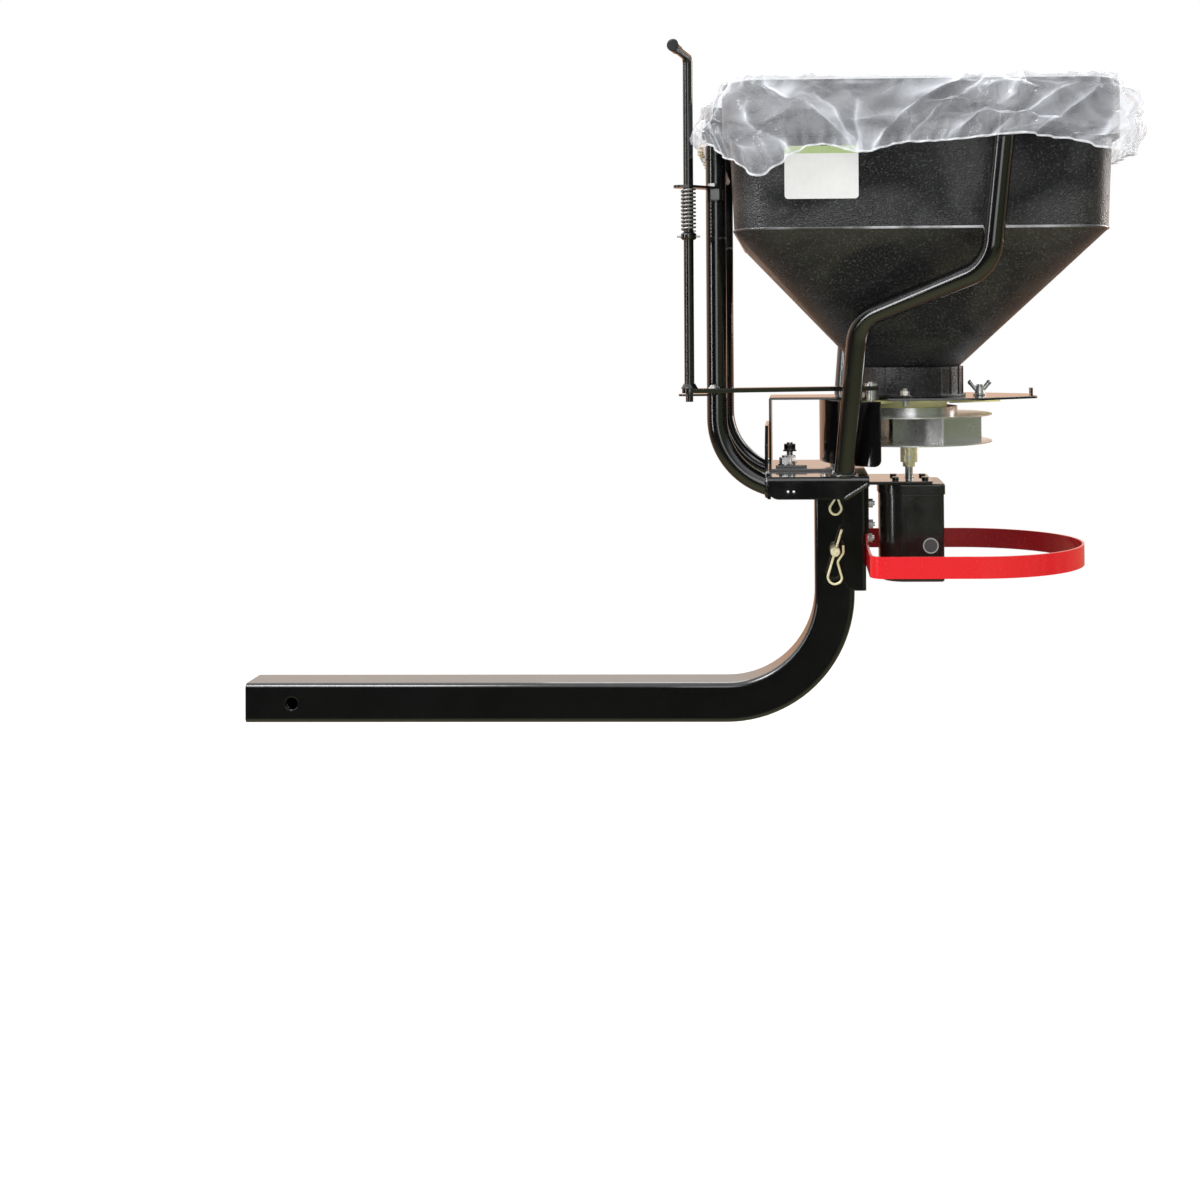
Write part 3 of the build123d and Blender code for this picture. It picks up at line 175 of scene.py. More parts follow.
def moulding():
    """Satin black injection moulding with a fine even grain."""
    s = Surface("black_moulding", Specular_IOR_Level=0.7, Coat_Weight=0.5, Coat_Roughness=0.08)
    s.round_edges(0.0018)
    tone = s.mix(s.noise(22, 4), (0.003, 0.0032, 0.003), (0.009, 0.0095, 0.009))
    s.bump(s.noise(1100, 2), 0.10, 0.0003)
    return s.wire(Base_Color=tone, Roughness=s.spread(s.noise(70, 4), 0.3, 0.7, 0.15, 0.26))


def rubber():
    s = Surface("black_rubber", Specular_IOR_Level=0.4)
    s.bump(s.noise(900, 3), 0.3, 0.0005)
    tone = s.mix(s.noise(60, 3), (0.012, 0.012, 0.012), (0.028, 0.028, 0.028))
    return s.wire(Base_Color=tone, Roughness=s.spread(s.noise(120, 3), 0.3, 0.7, 0.55, 0.75))


def stainless():
    """Rolled stainless sheet: fine grain lines along X, slight smudges."""
    s = Surface("stainless", Metallic=0.82)
    grain = s.noise(90, 4, 0.65, (1.0, 26.0, 26.0))
    smudge = s.noise(17, 5, 0.6)
    tone = s.mix(s.spread(grain, 0.3, 0.7), (0.60, 0.60, 0.59), (0.80, 0.80, 0.79))
    s.bump(grain, 0.10, 0.0003)
    smudged = s.spread(smudge, 0.35, 0.7, 0.14, 0.27)
    rough = s.math("ADD", smudged, s.spread(grain, 0.3, 0.7, 0.0, 0.07))
    return s.wire(Base_Color=tone, Roughness=rough)


def plated(name, first, second, tint, metal=0.85, low_rough=0.2, high_rough=0.38):
    """Plated steel: two tones in soft patches, a tint in places, and small pits."""
    s = Surface(name, Metallic=metal)
    patches = s.mix(s.spread(s.noise(70, 4, 0.6), 0.35, 0.68), first, second)
    tinted = s.mix(s.spread(s.noise(140, 3), 0.5, 0.75, 0.0, 0.6), patches, tint)
    s.bump(s.noise(900, 3), 0.12, 0.0003)
    rough = s.spread(s.noise(190, 4), 0.3, 0.7, low_rough, high_rough)
    return s.wire(Base_Color=tinted, Roughness=rough)


def red_paint():
    """Gloss red; the hoop's inner face gets a darker red as painted shade."""
    low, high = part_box("guard_hoop")
    middle = ((low.x + high.x) / 2, 0.0, (low.z + high.z) / 2)
    s = Surface("red_paint", Specular_IOR_Level=0.5, Coat_Weight=0.5, Coat_Roughness=0.08)
    outward = s.node("ShaderNodeVectorMath", {0: s.place, 1: middle}, operation="SUBTRACT").outputs[0]
    normal = s.node("ShaderNodeNewGeometry").outputs["Normal"]
    facing = s.node("ShaderNodeVectorMath", {0: outward, 1: normal}, operation="DOT_PRODUCT")
    outer_face_unshaded = s.spread(facing.outputs["Value"], -0.004, 0.004)
    bright = s.mix(s.noise(6, 2), (0.60, 0.005, 0.010), (0.65, 0.006, 0.012))
    # painted shade: the darker red on the hoop's inner face stands for the shade that falls there
    dark = s.mix(s.noise(24, 4), (0.15, 0.002, 0.004), (0.24, 0.003, 0.006))
    return s.wire(
        Base_Color=s.mix(outer_face_unshaded, dark, bright),
        Roughness=s.spread(s.noise(300, 2), 0.3, 0.7, 0.22, 0.28),
    )


def nylon():
    """Natural nylon, slightly translucent and yellowed in patches."""
    s = Surface("cream_nylon", Subsurface_Weight=0.15, Subsurface_Scale=0.004)
    tone = s.mix(s.noise(40, 4), (0.72, 0.70, 0.26), (0.82, 0.80, 0.48))
    s.bump(s.noise(500, 3), 0.12, 0.0004)
    return s.wire(Base_Color=tone, Roughness=s.spread(s.noise(80, 3), 0.3, 0.7, 0.34, 0.5))


def cast_housing():
    s = Surface("gear_housing", Metallic=0.6)
    tone = s.mix(s.noise(50, 5), (0.16, 0.16, 0.165), (0.27, 0.27, 0.28))
    s.bump(s.noise(500, 4), 0.4, 0.0006)
    return s.wire(Base_Color=tone, Roughness=s.spread(s.noise(90, 4), 0.3, 0.7, 0.45, 0.62))


def label_stock():
    """A blank white label with a plain green strip along its top."""
    low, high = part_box("hopper_label")
    strip_height = 0.0085
    s = Surface("white_label", Specular_IOR_Level=0.5)
    height = s.node("ShaderNodeSeparateXYZ", {0: s.place}).outputs["Z"]
    strip = s.spread(height, high.z - strip_height - 0.0003, high.z - strip_height)
    paper = s.mix(s.noise(160, 4), (0.55, 0.55, 0.535), (0.62, 0.62, 0.605))
    green = s.mix(s.noise(200, 3), (0.30, 0.39, 0.16), (0.37, 0.46, 0.21))
    s.bump(s.noise(700, 3), 0.05, 0.0003)
    rough = s.spread(s.noise(60, 3), 0.3, 0.7, 0.3, 0.42)
    return s.wire(Base_Color=s.mix(strip, paper, green), Roughness=rough)


def motor_sticker():
    """A dark round sticker with a thin pale ring inside its edge."""
    low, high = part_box("motor_sticker")
    middle = (low + high) / 2
    radius = (high.x - low.x) / 2
    s = Surface("grey_label", Specular_IOR_Level=0.5)
    distance = s.node("ShaderNodeVectorMath", {0: s.place, 1: tuple(middle)}, operation="DISTANCE")
    away = distance.outputs["Value"]
    outer = s.spread(away, radius * 0.80, radius * 0.83)
    inner = s.spread(away, radius * 0.90, radius * 0.93, 1.0, 0.0)
    dark = s.mix(s.noise(300, 3), (0.035, 0.035, 0.037), (0.055, 0.055, 0.057))
    ring = s.math("MULTIPLY", outer, inner)
    return s.wire(
        Base_Color=s.mix(ring, dark, (0.34, 0.34, 0.33)),
        Roughness=s.spread(s.noise(120, 3), 0.3, 0.7, 0.3, 0.45),
    )


def clear_film():
    """Thin clear polythene: milky haze, white where it is seen edge on, and painted highlights along its
    folds and creases.
    """
    s = Surface("clear_film", Specular_IOR_Level=0.8, Coat_Weight=0.5, Coat_Roughness=0.05)
    crease = s.node("ShaderNodeAttribute", attribute_name="crease").outputs["Fac"]
    fold = s.node("ShaderNodeAttribute", attribute_name="fold").outputs["Fac"]
    facing = s.node("ShaderNodeLayerWeight", {"Blend": 0.35}).outputs["Facing"]
    haze = s.spread(s.noise(15, 4, 0.55, (1, 1, 1), 1.2), 0.36, 0.68, 0.13, 0.30)
    edge_on = s.math("MULTIPLY", s.math("POWER", facing, 2.5), 0.55)
    # painted highlight: the film is made more opaque, and so whiter, along its creases and folds
    painted_crease_and_fold_highlight = s.math("ADD", s.math("MULTIPLY", crease, 0.35), s.math("MULTIPLY", fold, 0.72))
    opaque = s.math("ADD", s.math("ADD", haze, edge_on), painted_crease_and_fold_highlight, clamp=True)
    tone = s.mix(s.noise(33, 4), (0.80, 0.83, 0.90), (0.94, 0.96, 1.0))
    s.bump(s.noise(26, 3, 0.5, (1, 1, 1), 1.6), 0.55, 0.006)
    s.bump(s.noise(110, 3, 0.5, (1, 1, 1), 1.0), 0.15, 0.0010)
    rough = s.spread(s.noise(60, 3), 0.3, 0.7, 0.08, 0.20)
    return s.wire(Base_Color=tone, Alpha=opaque, Roughness=rough)


def crease_shine():
    """The hopper's crease rib, pale in places along its length as a painted highlight."""
    s = Surface("crease_shine", Specular_IOR_Level=0.8, Coat_Weight=1.0, Coat_Roughness=0.10)
    split = s.node("ShaderNodeSeparateXYZ", {0: s.place})
    across = s.math("ABSOLUTE", s.math("SUBTRACT", split.outputs["X"], OUTLET_X))
    along = s.math("ABSOLUTE", split.outputs["Y"])
    away_from_corners = s.spread(s.math("MINIMUM", across, along), 0.120, 0.185, 1.0, 0.0)
    # painted highlight: pale streaks along the rib, fading towards the corners
    painted_highlight = s.math("MULTIPLY", s.spread(s.noise(13, 4, 0.6, (1, 1, 0.2)), 0.36, 0.60), away_from_corners)
    return s.wire(
        Base_Color=s.mix(painted_highlight, (0.030, 0.030, 0.032), (0.42, 0.42, 0.44)),
        Roughness=s.spread(s.noise(90, 3), 0.3, 0.7, 0.18, 0.32),
    )


def elastic():
    """Gathered elastic hem: milky, and amber along the vehicle side. The amber is the elastic's own
    colour, kept to that side because it lies in shade; the paler rest is painted highlight.
    """
    s = Surface("hem_elastic", Specular_IOR_Level=0.6)
    split = s.node("ShaderNodeSeparateXYZ", {0: s.place})
    # the amber shows only on the shaded vehicle side; elsewhere the hem is painted pale as painted
    # highlight
    shaded_amber_side = s.spread(split.outputs["X"], 0.556, 0.544)
    clear = s.mix(s.noise(150, 3, 0.6), (0.72, 0.73, 0.74), (0.93, 0.94, 0.95))
    amber = s.mix(s.noise(120, 3, 0.6), (0.52, 0.36, 0.10), (0.80, 0.66, 0.34))
    s.bump(s.noise(620, 2), 0.4, 0.0006)
    return s.wire(
        Base_Color=s.mix(shaded_amber_side, clear, amber),
        Alpha=s.spread(s.noise(90, 3), 0.35, 0.65, 0.30, 0.65),
        Roughness=s.spread(s.noise(200, 3), 0.3, 0.7, 0.2, 0.4),
    )


materials = {
    "black_powder_coat": powder_coat(),
    "black_poly": hopper_poly(),
    "black_moulding": moulding(),
    "black_rubber": rubber(),
    "stainless": stainless(),
    "zinc": plated("zinc", (0.56, 0.57, 0.58), (0.74, 0.75, 0.76), (0.66, 0.62, 0.48)),
    "yellow_zinc": plated("yellow_zinc", (0.74, 0.69, 0.42), (0.90, 0.84, 0.55), (0.76, 0.76, 0.62), 0.45),
    "spring_steel": plated("spring_steel", (0.34, 0.34, 0.35), (0.50, 0.50, 0.51), (0.40, 0.37, 0.32)),
    "red_paint": red_paint(),
    "cream_nylon": nylon(),
    "gear_housing": cast_housing(),
    "white_label": label_stock(),
    "grey_label": motor_sticker(),
    "clear_film": clear_film(),
    "hem_elastic": elastic(),
    "crease_shine": crease_shine(),
}

slot_of = {row["node"]: row["material_slot"] for row in frame["record"]["subparts"]}
for node_name, cad_object in frame["nodes"].items():
    material = materials[slot_of[node_name]]
    for material_slot in cad_object.material_slots:
        material_slot.material = material


# ---------------------------------------------------------------- mesh helpers
def new_mesh(name, points, faces, material):
    mesh = bpy.data.meshes.new(name)
    mesh.from_pydata([tuple(p) for p in points], [], faces)
    mesh.materials.append(material)
    mesh.shade_smooth()
    made = bpy.data.objects.new(name, mesh)
    scene.collection.objects.link(made)
    return made


def tube(name, centres, radii, material, closed=True, sides=8):
    """A tube along a line of points, closed or open, with one radius for each point."""
    points = []
    count = len(centres)
    for i, centre in enumerate(centres):
        after = centres[(i + 1) % count] if closed else centres[min(i + 1, count - 1)]
        before = centres[i - 1] if closed else centres[max(i - 1, 0)]
        along = (after - before).normalized()
        across = along.orthogonal().normalized()
        if abs(along.z) < 0.9:
            across = along.cross(Vector((0, 0, 1))).normalized()
        upward = across.cross(along)
        for j in range(sides):
            angle = 2 * math.pi * j / sides
            points.append(centre + (across * math.cos(angle) + upward * math.sin(angle)) * radii[i])
    faces = []
    for i in range(count if closed else count - 1):
        for j in range(sides):
            k = (j + 1) % sides
            following = (i + 1) % count
            faces.append((i * sides + j, i * sides + k, following * sides + k, following * sides + j))
    if not closed:
        faces.append(tuple(range(sides)))
        faces.append(tuple(reversed(range((count - 1) * sides, count * sides))))
    return new_mesh(name, points, faces, material)


def smooth_step(value, low, high):
    t = min(1.0, max(0.0, (value - low) / (high - low)))
    return t * t * (3 - 2 * t)


def bell(value, middle, width):
    return math.exp(-((value - middle) / width) ** 2)


# ---------------------------------------------------------------- film cover
hopper_low, hopper_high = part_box("hopper")
RIM_X = (hopper_low.x + hopper_high.x) / 2
RIM_HALF = (hopper_high.x - hopper_low.x) / 2
RIM_Z = hopper_high.z
RIM_CORNER = 0.052
rod_low, rod_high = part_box("rod_collar")
ROD_Y = (rod_low.y + rod_high.y) / 2
post_low, post_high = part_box("front_post_left")
POST_X = post_low.x + 0.0125
POST_Y = 0.092
support_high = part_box("rear_support_left")[1]
SUPPORT_X = 0.891
SUPPORT_Y = 0.2475
SUPPORT_OUT = 0.2672

GRID = 171
RIM_RING = 0.66

# the near side's hem hangs this far below the rim, and further or less far at a few places:
# each is the X of its middle, the extra drop and its half-width
NEAR_HEM_DROP = 0.077
NEAR_SAGS = (
    (0.600, 0.042, 0.042),  # heavy gather by the control rod
    (0.735, 0.012, 0.035),  # pouch where the folds meet
    (0.920, -0.006, 0.045),  # drawn up beside the rear support
    (1.020, 0.018, 0.030),  # slack at the far end
)

# folds on the near side: X at the hem, X at the rim, height and half-width
NEAR_FOLDS = (
    (0.560, 0.548, 0.008, 0.010), (0.606, 0.580, 0.010, 0.012), (0.640, 0.604, 0.007, 0.008),
    (0.722, 0.628, 0.012, 0.013), (0.730, 0.676, 0.009, 0.009), (0.738, 0.716, 0.006, 0.007),
    (0.752, 0.838, 0.018, 0.018), (0.790, 0.868, 0.009, 0.009), (0.846, 0.905, 0.007, 0.008),
    (0.877, 0.960, 0.013, 0.012), (0.925, 0.990, 0.008, 0.008), (0.979, 1.036, 0.013, 0.011),
    (1.010, 1.050, 0.007, 0.007),
)
OTHER_SIDE_FOLDS = 9


def along_rim(a, b):
    """Distance round the unit square, 0 at the middle of the near side, from -1 to 7."""
    if b <= -abs(a) + 1e-9:
        return a
    if a >= abs(b):
        return 2 + b
    if b >= abs(a):
        return 4 - a
    return 6 - b


def make_folds():
    """Folds as places round the rim at the hem and at the rim, height and half-width."""
    folds = [
        ((hem_x - RIM_X) / RIM_HALF, (rim_x - RIM_X) / RIM_HALF, height, width / RIM_HALF)
        for hem_x, rim_x, height, width in NEAR_FOLDS
    ]
    for middle in (2, 4, 6):
        for i in range(OTHER_SIDE_FOLDS):
            place = middle - 0.95 + 1.9 * (i + random.uniform(0.1, 0.9)) / OTHER_SIDE_FOLDS
            slant = random.uniform(-0.34, 0.34)
            height = random.uniform(0.004, 0.009) * (0.35 if middle == 6 else 1.0)
            folds.append((place, place + slant, height, random.uniform(0.045, 0.080)))
    return folds


FOLDS = make_folds()


def fold_height(place, part):
    """The folds' height at a place round the rim, from the rim (0) to the hem (1); sharp crests."""
    height = 0.0
    for at_hem, at_rim, tall, width in FOLDS:
        away = place - (at_rim + (at_hem - at_rim) * part)
        away = (away + 4) % 8 - 4
        height += tall * math.exp(-abs(away) / width)
    return height


def fold_painted_highlight(place, part):
    """Painted highlight along each fold's crest, with a softer streak of painted sheen on one side of it.
    """
    white = 0.0
    for number, (at_hem, at_rim, tall, width) in enumerate(FOLDS):
        curve = 0.05 * noise.noise(Vector((part * 2.4, number * 1.7, 5.0)))
        away = place - (at_rim + (at_hem - at_rim) * part) - curve
        away = (away + 4) % 8 - 4
        if abs(away) > 0.25:
            continue
        strength = tall / 0.012 * (0.42 + 1.1 * noise.noise(Vector((part * 3.2, number * 2.3, 1.0))))
        behind = away if number % 2 else -away
        # painted sheen: a softer pale streak on one side of each fold's crest
        one_side_painted_sheen = 0.62 * math.exp(-behind / (1.5 * width)) if behind > 0 else 0.0
        white += max(0.0, strength) * (0.75 * math.exp(-abs(away) / 0.0085) + one_side_painted_sheen)
    return min(1.0, white)


def rounded_rectangle(a, b, half_x, half_y, corner):
    """A point on a rounded rectangle round the hopper's middle, at a place on the unit square."""
    x, y = a * half_x, b * half_y
    inner_x = max(-(half_x - corner), min(half_x - corner, x))
    inner_y = max(-(half_y - corner), min(half_y - corner, y))
    away = Vector((x - inner_x, y - inner_y))
    away = away.normalized() * corner if away.length > 1e-9 else away
    return Vector((RIM_X + inner_x + away.x, inner_y + away.y))


def outline(a, b, grow):
    """The rim's rounded square pushed outward, at a place on the unit square."""
    half = RIM_HALF + grow
    return rounded_rectangle(a, b, half, half, RIM_CORNER + max(grow, 0.0))


def side_of(a, b):
    """Weights of the near, right, far and left sides at a place on the unit square."""
    near = smooth_step(-b, 0.8, 1.0)
    far = smooth_step(b, 0.8, 1.0)
    right = smooth_step(a, 0.8, 1.0)
    left = smooth_step(-a, 0.8, 1.0)
    return near, right, far, left


def hem_drop(a, b, x):
    near, right, far, left = side_of(a, b)
    total = near + right + far + left
    wander = 0.012 * noise.noise(Vector((a * 3.1, b * 3.1, 4.0)))
    return (
        near * (NEAR_HEM_DROP + sum(more * bell(x, middle, width) for middle, more, width in NEAR_SAGS))
        + right * (0.082 + wander)
        + far * (0.074 + wander)
        + left * (0.074 + 0.5 * wander)
    ) / total


def swell(a, b, x):
    """How far the film stands out from the rim, before its folds."""
    near, right, far, left = side_of(a, b)
    total = near + right + far + left
    corner = smooth_step(abs(a * b), 0.62, 1.0)
    over_support = bell(x, SUPPORT_X, 0.060)
    side = (
        near * (0.014 + 0.028 * over_support + 0.012 * bell(x, 0.60, 0.05))
        + far * (0.014 + 0.028 * over_support)
        + right * 0.024
        + left * 0.0345
    ) / total
    return side * (1 - corner) + (0.048 if b < 0 else 0.038) * corner


def film_start():
    """The film's vertices before it settles: one grid wrapped over the rim, and the hem's vertices."""
    points = []
    hem = []
    for j in range(GRID):
        for i in range(GRID):
            u = 2 * i / (GRID - 1) - 1
            v = 2 * j / (GRID - 1) - 1
            ring = max(abs(u), abs(v), 1e-6)
            a, b = u / ring, v / ring
            if ring <= RIM_RING:
                part = ring / RIM_RING
                flat = outline(a, b, 0.003)
                x = RIM_X + (flat.x - RIM_X) * part
                y = flat.y * part
                ripple = noise.noise(Vector((x * 9, y * 9, 1.0)))
                ripple += 0.5 * noise.noise(Vector((x * 23, y * 23, 2.0)))
                z = RIM_Z + 0.004 + 0.010 * ripple * smooth_step(part, 0.0, 0.5)
                z += 0.005 * bell(part, 0.93, 0.1)
                z += 0.9 * fold_height(along_rim(a, b), -1.6 * (1 - part)) * smooth_step(part, 0.45, 0.9)
                points.append(Vector((x, y, z)))
                continue
            part = (ring - RIM_RING) / (1 - RIM_RING)
            edge = outline(a, b, 0.0)
            out = swell(a, b, edge.x)
            # the hem slides towards the low point of the near side, which slants the folds
            pull = 0.026 * part * smooth_step(-b, 0.6, 1.0)
            slide = pull * max(-1.0, min(1.0, (0.736 - edge.x) / 0.12))
            fold = noise.noise(Vector((a * 7.0 + part * 0.8, b * 7.0 - part * 0.8, 7.0)))
            fine = math.sin(hem_phase(a, b) + 2.0 * part)
            grow = 0.003 + out * math.sin(min(1.0, part * 1.9) * math.pi / 2)
            grow -= 0.010 * smooth_step(part, 0.72, 1.0) * smooth_step(out, 0.01, 0.03)
            crest = fold_height(along_rim(a, b), part)
            grow += 0.003 * fold * math.sin(part * math.pi) + 0.0028 * fine * smooth_step(part, 0.6, 1.0)
            grow += crest * math.sin(math.pi * (0.12 + 0.76 * part)) - 0.003 * math.sin(part * math.pi)
            place = outline(a, b, grow)
            drop = hem_drop(a, b, edge.x)
            z = RIM_Z + 0.003 - drop * (0.15 * part + 0.85 * part ** 1.6) + 0.5 * crest * (1 - part)
            points.append(Vector((place.x + slide, place.y, z)))
            if ring > 1 - 0.5 / GRID:
                hem.append(len(points) - 1)
    faces = [
        (j * GRID + i, j * GRID + i + 1, (j + 1) * GRID + i + 1, (j + 1) * GRID + i)
        for j in range(GRID - 1) for i in range(GRID - 1)
    ]
    return points, faces, hem


def hem_phase(a, b):
    """The gathers' phase along the hem, with uneven spacing."""
    along = (a - b) * 14.0 if abs(a) < abs(b) else (b + a) * 14.0
    return 2 * math.pi * along / 1.15 + 2.5 * noise.noise(Vector((a * 5, b * 5, 9.0)))


def add_collider(name, points, faces):
    made = new_mesh(name, points, faces, materials["black_poly"])
    made.modifiers.new("collide", "COLLISION")
    made.collision.thickness_outer = 0.002
    made.collision.cloth_friction = 8
    return made


def ring_collider():
    """The hopper's rim as a thick ring."""
    count = 160
    low_z = RIM_Z - 0.16
    points = []
    for grow, z in ((0.0, low_z), (0.0, RIM_Z), (-0.030, RIM_Z), (-0.030, low_z)):
        for i in range(count):
            angle = 2 * math.pi * i / count
            a, b = math.cos(angle), math.sin(angle)
            largest = max(abs(a), abs(b))
            place = outline(a / largest, b / largest, grow)
            points.append((place.x, place.y, z))
    faces = []
    for k in range(4):
        for i in range(count):
            a = k * count + i
            b = k * count + (i + 1) % count
            faces.append((a, b, ((k + 1) % 4) * count + (i + 1) % count, ((k + 1) % 4) * count + i))
    return add_collider("rim_collider", points, faces)


def stub_collider(name, x, y, radius, top):
    """A tube's upper end, rounded."""
    count = 20
    rings = [(radius, top - 0.12), (radius, top - 0.004), (radius * 0.7, top)]
    points = [
        (x + r * math.cos(2 * math.pi * i / count), y + r * math.sin(2 * math.pi * i / count), z)
        for r, z in rings for i in range(count)
    ]
    faces = [
        (
            k * count + i, k * count + (i + 1) % count,
            (k + 1) * count + (i + 1) % count, (k + 1) * count + i,
        )
        for k in range(2) for i in range(count)
    ]
    faces.append(tuple(range(2 * count, 3 * count)))
    return add_collider(name, points, faces)


# a tube's radius with room for the film round it
POST_CLEAR_R = 0.0140
SUPPORT_CLEAR_R = 0.0150
SETTLE_FRAMES = 20
MOST_MOVE = 0.016


def settle(film, hem):
    """Lets the film crumple and sag by cloth simulation, with its hem held."""
    colliders = [ring_collider()]
    for side in (-1, 1):
        colliders.append(
            stub_collider(f"post_{side}", POST_X, side * POST_Y, POST_CLEAR_R, post_high.z + 0.003)
        )
        support_y = side * SUPPORT_Y
        colliders.append(
            stub_collider(f"support_{side}", SUPPORT_X, support_y, SUPPORT_CLEAR_R, support_high.z + 0.003)
        )
    pins = film.vertex_groups.new(name="hem")
    pins.add(hem, 1.0, "REPLACE")
    cloth = film.modifiers.new("cloth", "CLOTH")
    settings = cloth.settings
    settings.quality = 6
    settings.mass = 0.12
    settings.tension_stiffness = 22
    settings.compression_stiffness = 22
    settings.shear_stiffness = 9
    settings.bending_stiffness = 0.06
    settings.tension_damping = 12
    settings.compression_damping = 12
    settings.shear_damping = 12
    settings.air_damping = 3
    settings.shrink_min = -0.075
    settings.vertex_group_mass = "hem"
    settings.effector_weights.gravity = 0.35
    cloth.collision_settings.distance_min = 0.0015
    cloth.collision_settings.collision_quality = 3
    cloth.point_cache.frame_start = 1
    cloth.point_cache.frame_end = SETTLE_FRAMES
    start = [v.co.copy() for v in film.data.vertices]
    for step in range(1, SETTLE_FRAMES + 1):
        scene.frame_set(step)
    graph = bpy.context.evaluated_depsgraph_get()
    settled = [v.co.copy() for v in film.evaluated_get(graph).data.vertices]
    film.modifiers.remove(cloth)
    film.vertex_groups.remove(pins)
    scene.frame_set(1)
    for vertex, before, after in zip(film.data.vertices, start, settled):
        move = after - before
        if move.length > MOST_MOVE:
            move *= MOST_MOVE / move.length
        vertex.co = keep_clear(before + move)
    for collider in colliders:
        bpy.data.objects.remove(collider)


# the film stays inside these, and clear of the rod, the posts and the supports
LEFT_LIMIT = 0.5350
LEFT_LIMIT_NEAR_ROD_SIDE = 0.5235
POST_FACE_X = 0.5395
SIDE_LIMIT = 0.2795
TOP_LIMIT = 0.7865


def keep_clear(point):
    """Holds the film off the control rod, the posts, the supports and the rim."""
    x, y, z = point
    near_rod = 1 - smooth_step(abs(y - ROD_Y), 0.012, 0.026)
    least_x = LEFT_LIMIT_NEAR_ROD_SIDE + 0.0115 * near_rod if y < ROD_Y else LEFT_LIMIT
    x = max(x, least_x)
    near_post = 1 - smooth_step(abs(abs(y) - POST_Y), 0.016, 0.032)
    if x < POST_X and z < post_high.z + 0.004:
        x = min(x, POST_FACE_X + 0.02 * (1 - near_post))
    near_support = 1 - smooth_step(abs(x - SUPPORT_X), 0.018, 0.045)
    if abs(y) > 0.240 and z < support_high.z + 0.004:
        y = math.copysign(max(abs(y), SUPPORT_OUT - 0.030 * (1 - near_support)), y)
    return Vector((x, min(SIDE_LIMIT, max(-SIDE_LIMIT, y)), min(z, TOP_LIMIT)))


def mark_folds(film):
    """Stores the painted highlight along the folds at each vertex, and takes away the grid places it
    needed.
    """
    mesh = film.data
    across = [item.value for item in mesh.attributes["grid_u"].data]
    along = [item.value for item in mesh.attributes["grid_v"].data]
    folds = mesh.attributes.new("fold", "FLOAT", "POINT")
    for i, (u, v) in enumerate(zip(across, along)):
        ring = max(abs(u), abs(v), 1e-6)
        place = along_rim(u / ring, v / ring)
        part = (ring - RIM_RING) / (1 - RIM_RING)
        if part < 0:
            fade = smooth_step(ring / RIM_RING, 0.55, 0.97)
            folds.data[i].value = 0.55 * fade * fold_painted_highlight(place, 1.6 * part)
        else:
            folds.data[i].value = fold_painted_highlight(place, part) * (1 - 0.5 * smooth_step(part, 0.85, 1.0))
    for name in ("grid_u", "grid_v"):
        mesh.attributes.remove(mesh.attributes[name])


def mark_creases(film):
    """Stores how sharply the film bends at each vertex, for its material, which puts painted highlight
    there.
    """
    mesh = film.data
    total = [Vector() for _ in mesh.vertices]
    count = [0] * len(mesh.vertices)
    for edge in mesh.edges:
        a, b = edge.vertices
        total[a] += mesh.vertices[b].co
        total[b] += mesh.vertices[a].co
        count[a] += 1
        count[b] += 1
    attribute = mesh.attributes.new("crease", "FLOAT", "POINT")
    for i, vertex in enumerate(mesh.vertices):
        bend = (total[i] / count[i] - vertex.co).length
        attribute.data[i].value = smooth_step(bend, 0.00016, 0.0008)


def make_cover():
    points, faces, hem = film_start()
    film = new_mesh("rain_cover_film", points, faces, materials["clear_film"])
    for name, divide in (("grid_u", 1), ("grid_v", GRID)):
        attribute = film.data.attributes.new(name, "FLOAT", "POINT")
        for i in range(len(points)):
            attribute.data[i].value = 2 * (i // divide % GRID) / (GRID - 1) - 1
    settle(film, hem)
    fold_in = film.modifiers.new("soften", "SUBSURF")
    fold_in.levels = 1
    fold_in.render_levels = 1
    graph = bpy.context.evaluated_depsgraph_get()
    smoothed = bpy.data.meshes.new_from_object(film.evaluated_get(graph))
    film.modifiers.clear()
    film.data = smoothed
    mark_folds(film)
    mark_creases(film)
    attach(film, "cover")
    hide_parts("rain_cover")
    return film


def hem_line(film):
    """The film's edge as one closed line of points."""
    mesh = film.data
    used = {}
    for polygon in mesh.polygons:
        for key in polygon.edge_keys:
            used[key] = used.get(key, 0) + 1
    beside = {}
    for (a, b), times in used.items():
        if times == 1:
            beside.setdefault(a, []).append(b)
            beside.setdefault(b, []).append(a)
    first = min(beside)
    line = [first]
    previous, current = first, beside[first][0]
    while current != first:
        line.append(current)
        following = [n for n in beside[current] if n != previous][0]
        previous, current = current, following
    return [mesh.vertices[i].co.copy() for i in line]


cover = make_cover()
hem_points = hem_line(cover)[::2]
hem_radii = [0.0011 + 0.0006 * noise.noise(point * 55) for point in hem_points]
hem_tube = tube("rain_cover_hem", hem_points, hem_radii, materials["hem_elastic"])
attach(hem_tube, "cover")


# ---------------------------------------------------------------- small details
def weld(name, centres, closed, radius=0.0032):
    """A weld bead with the ripples of its passes, under the powder coat."""
    radii = [radius * (1 + 0.16 * math.sin(i * 2.3)) for i in range(len(centres))]
    bead = tube(name, centres, radii, materials["black_powder_coat"], closed)
    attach(bead, "frame")


def ring_round(centre, axis, radius, count=44):
    """Points on a circle round an axis."""
    side = axis.orthogonal().normalized()
    other = axis.normalized().cross(side)
    angles = [2 * math.pi * i / count for i in range(count)]
    return [centre + (side * math.cos(t) + other * math.sin(t)) * radius for t in angles]


def line_between(start, end, count=24):
    return [start.lerp(end, i / (count - 1)) for i in range(count)]


